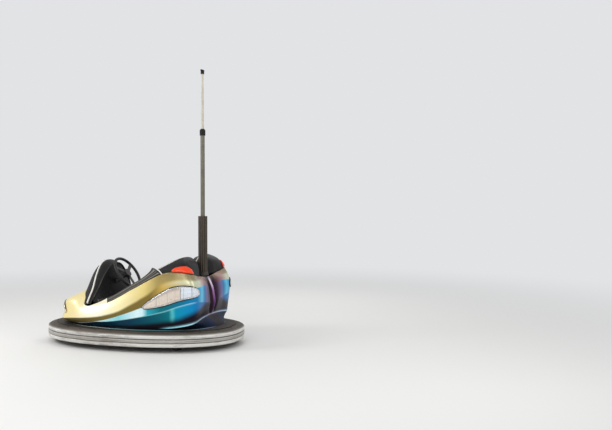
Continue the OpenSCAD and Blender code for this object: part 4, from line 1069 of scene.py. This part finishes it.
def makeCushion():
    t = cushion
    low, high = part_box("seat_cushion")
    x, y = np.meshgrid(np.linspace(-1, 1, t["cols"]), np.linspace(0, 1, t["rows"]), indexing="ij")
    inX = np.sign(x) * (np.abs(x) ** 0.96) * t["half"]
    inY = low.y + t["inset"] + (high.y - low.y - t["inset"]) * y
    topZ = high.z - t["sunk"] - t["crown"] * (x ** 6 + (2 * y - 1) ** 4)
    topZ = low.z + 0.01 + (topZ - low.z - 0.01) * (1 - t["channel"] * ridgeLine(x, 0, t["channelWide"]))
    front = np.stack([inX, inY, topZ], -1)
    back = np.stack([inX, inY, np.full_like(inX, low.z + t["foot"])], -1)
    piece = closedPad(front, back).make("seatCushion", finishes["upholstery"])
    inflate(piece, t)
    settle(piece, "upholstery", "seat_cushion")


makeCushion()


shelf = dict(top=0.302, inner=0.337, besideBase=0.362, back=0.384, behind=0.316, thick=0.003, round=0.014)


def makeShelf():
    # the moulded shelf beside and behind the cushion, out to the lining
    low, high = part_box("seat_base")
    s = np.linspace(lining["first"], lining["last"], lining["steps"])
    wall = topEdge(s)
    order = np.argsort(wall[:, 1])
    turn = np.linspace(0, math.pi / 2, 6)
    ys = np.concatenate([[low.y] * 3, low.y + shelf["round"] * (1 - np.cos(turn)),
                         np.linspace(low.y + 0.03, shelf["back"], 18)])
    zs = np.concatenate([[low.z + 0.002, high.z + 0.002, high.z + 0.006],
                         shelf["top"] - shelf["round"] * (1 - np.sin(turn)), [shelf["top"]] * 18])
    inner = np.where(zs < high.z + 0.004, shelf["besideBase"], shelf["inner"])[:, None]
    outer = np.interp(ys, wall[order, 1], wall[order, 0])[:, None] - lining["wall"] - 0.001
    x = inner + (outer - inner) * np.linspace(0, 1, 6)
    face = np.stack([x, ys[:, None] + 0 * x, zs[:, None] + 0 * x], -1)
    inside = face + np.array([0, shelf["thick"], -shelf["thick"]])
    inside[0, :, 2] = face[0, :, 2]
    pieces = closedPad(face, inside)
    closedPad(mirrored(face), mirrored(inside), pieces, True)
    u, v = np.meshgrid(np.linspace(-1, 1, 30) * shelf["inner"], np.linspace(shelf["behind"], shelf["back"], 5),
                       indexing="ij")
    strip = np.stack([u, v, 0 * u + shelf["top"]], -1)
    closedPad(strip, strip - np.array([0, 0, shelf["thick"]]), pieces)
    show(pieces, "seatShelf", "black_moulding", sharp=50)


makeShelf()
print("seat made")


studio = dict(floor=60.0, floorTone=(236, 235, 232), shadeTone=(214, 212, 208), worldTone=(226, 227, 229), fill=0.86,
              haze=(2.4, 9.0))


def makeStudio():
    ring = np.linspace(0, 2 * math.pi, 96, endpoint=False)
    disc = Pieces().cap(np.stack([np.cos(ring) * studio["floor"], np.sin(ring) * studio["floor"], 0 * ring], 1))
    f = Finish("studioFloor", Roughness=0.85)
    f.set(Base_Color=f.blend(f.noise(0.8, 3) * 0.08, studio["floorTone"], studio["shadeTone"]))
    # far off, the floor fades into the background for the camera
    x, y, _ = f.axes()
    far = ((x * x + y * y) ** 0.5).step(*studio["haze"]) * f.add("ShaderNodeLightPath", {}, {}, "Is Camera Ray")
    haze = f.add("ShaderNodeEmission", {}, {"Color": tone(*studio["worldTone"]), "Strength": 1.0})
    surface = f.add("ShaderNodeMixShader", {}, {0: far, 1: Wire(f, f.shader.outputs[0]), 2: haze})
    f.tree.links.new(surface.socket, f.tree.nodes["Material Output"].inputs["Surface"])
    disc.make("studioFloor", f)
    world = bpy.data.worlds.new("studioWorld")
    world.use_nodes = True
    bpy.context.scene.world = world
    sky = Sheet(world.node_tree, "Background")
    sky.shader.inputs["Color"].default_value = tone(*studio["worldTone"])
    seen, mirror, through = [sky.add("ShaderNodeLightPath", {}, {}, f"Is {ray} Ray")
                             for ray in ("Camera", "Glossy", "Transmission")]
    sky.set(Strength=(seen + mirror + through).least(1) * (1 - studio["fill"]) + studio["fill"])


lampsList = [
    dict(name="keyLight", spot=(2.6, -3.4, 3.4), aim=(0, -0.2, 0.4), power=90, size=(1.6, 1.6)),
    dict(name="sideStrip", spot=(4.6, 0.8, 2.6), aim=(0, 0.1, 0.45), power=34, size=(3.2, 0.6)),
    dict(name="rearLight", spot=(1.6, 4.2, 2.6), aim=(0, 0.5, 0.5), power=26, size=(1.2, 1.2)),
    dict(name="farFill", spot=(-3.6, 0.5, 3.0), aim=(0, 0, 0.5), power=24, size=(2.6, 2.6)),
]


def makeLights():
    for look in lampsList:
        data = bpy.data.lights.new(look["name"], "AREA")
        data.energy, data.shape = look["power"], "RECTANGLE"
        data.size, data.size_y = look["size"]
        lamp = placed(look["name"], data)
        lamp.location = look["spot"]
        lamp.rotation_euler = (Vector(look["aim"]) - lamp.location).to_track_quat("-Z", "Y").to_euler()


view = dict(spot=(6.256, 3.342, 1.360), heading=(-0.965016, -0.262189), focal=700, width=612, drop=12)


def makeCamera():
    data = bpy.data.cameras.new("photoView")
    camera = placed("photoView", data)
    data.sensor_width = 36
    data.lens = 36 * view["focal"] / view["width"]
    camera.location = view["spot"]
    pitch = math.atan(view["drop"] / view["focal"])
    ahead = Vector((*view["heading"], 0)).normalized() * math.cos(pitch) - Vector((0, 0, math.sin(pitch)))
    camera.rotation_euler = ahead.to_track_quat("-Z", "Y").to_euler()
    bpy.context.scene.camera = camera


makeStudio()
makeLights()
makeCamera()
bpy.context.scene.view_settings.view_transform = "Standard"
print("studio, lights and camera set")
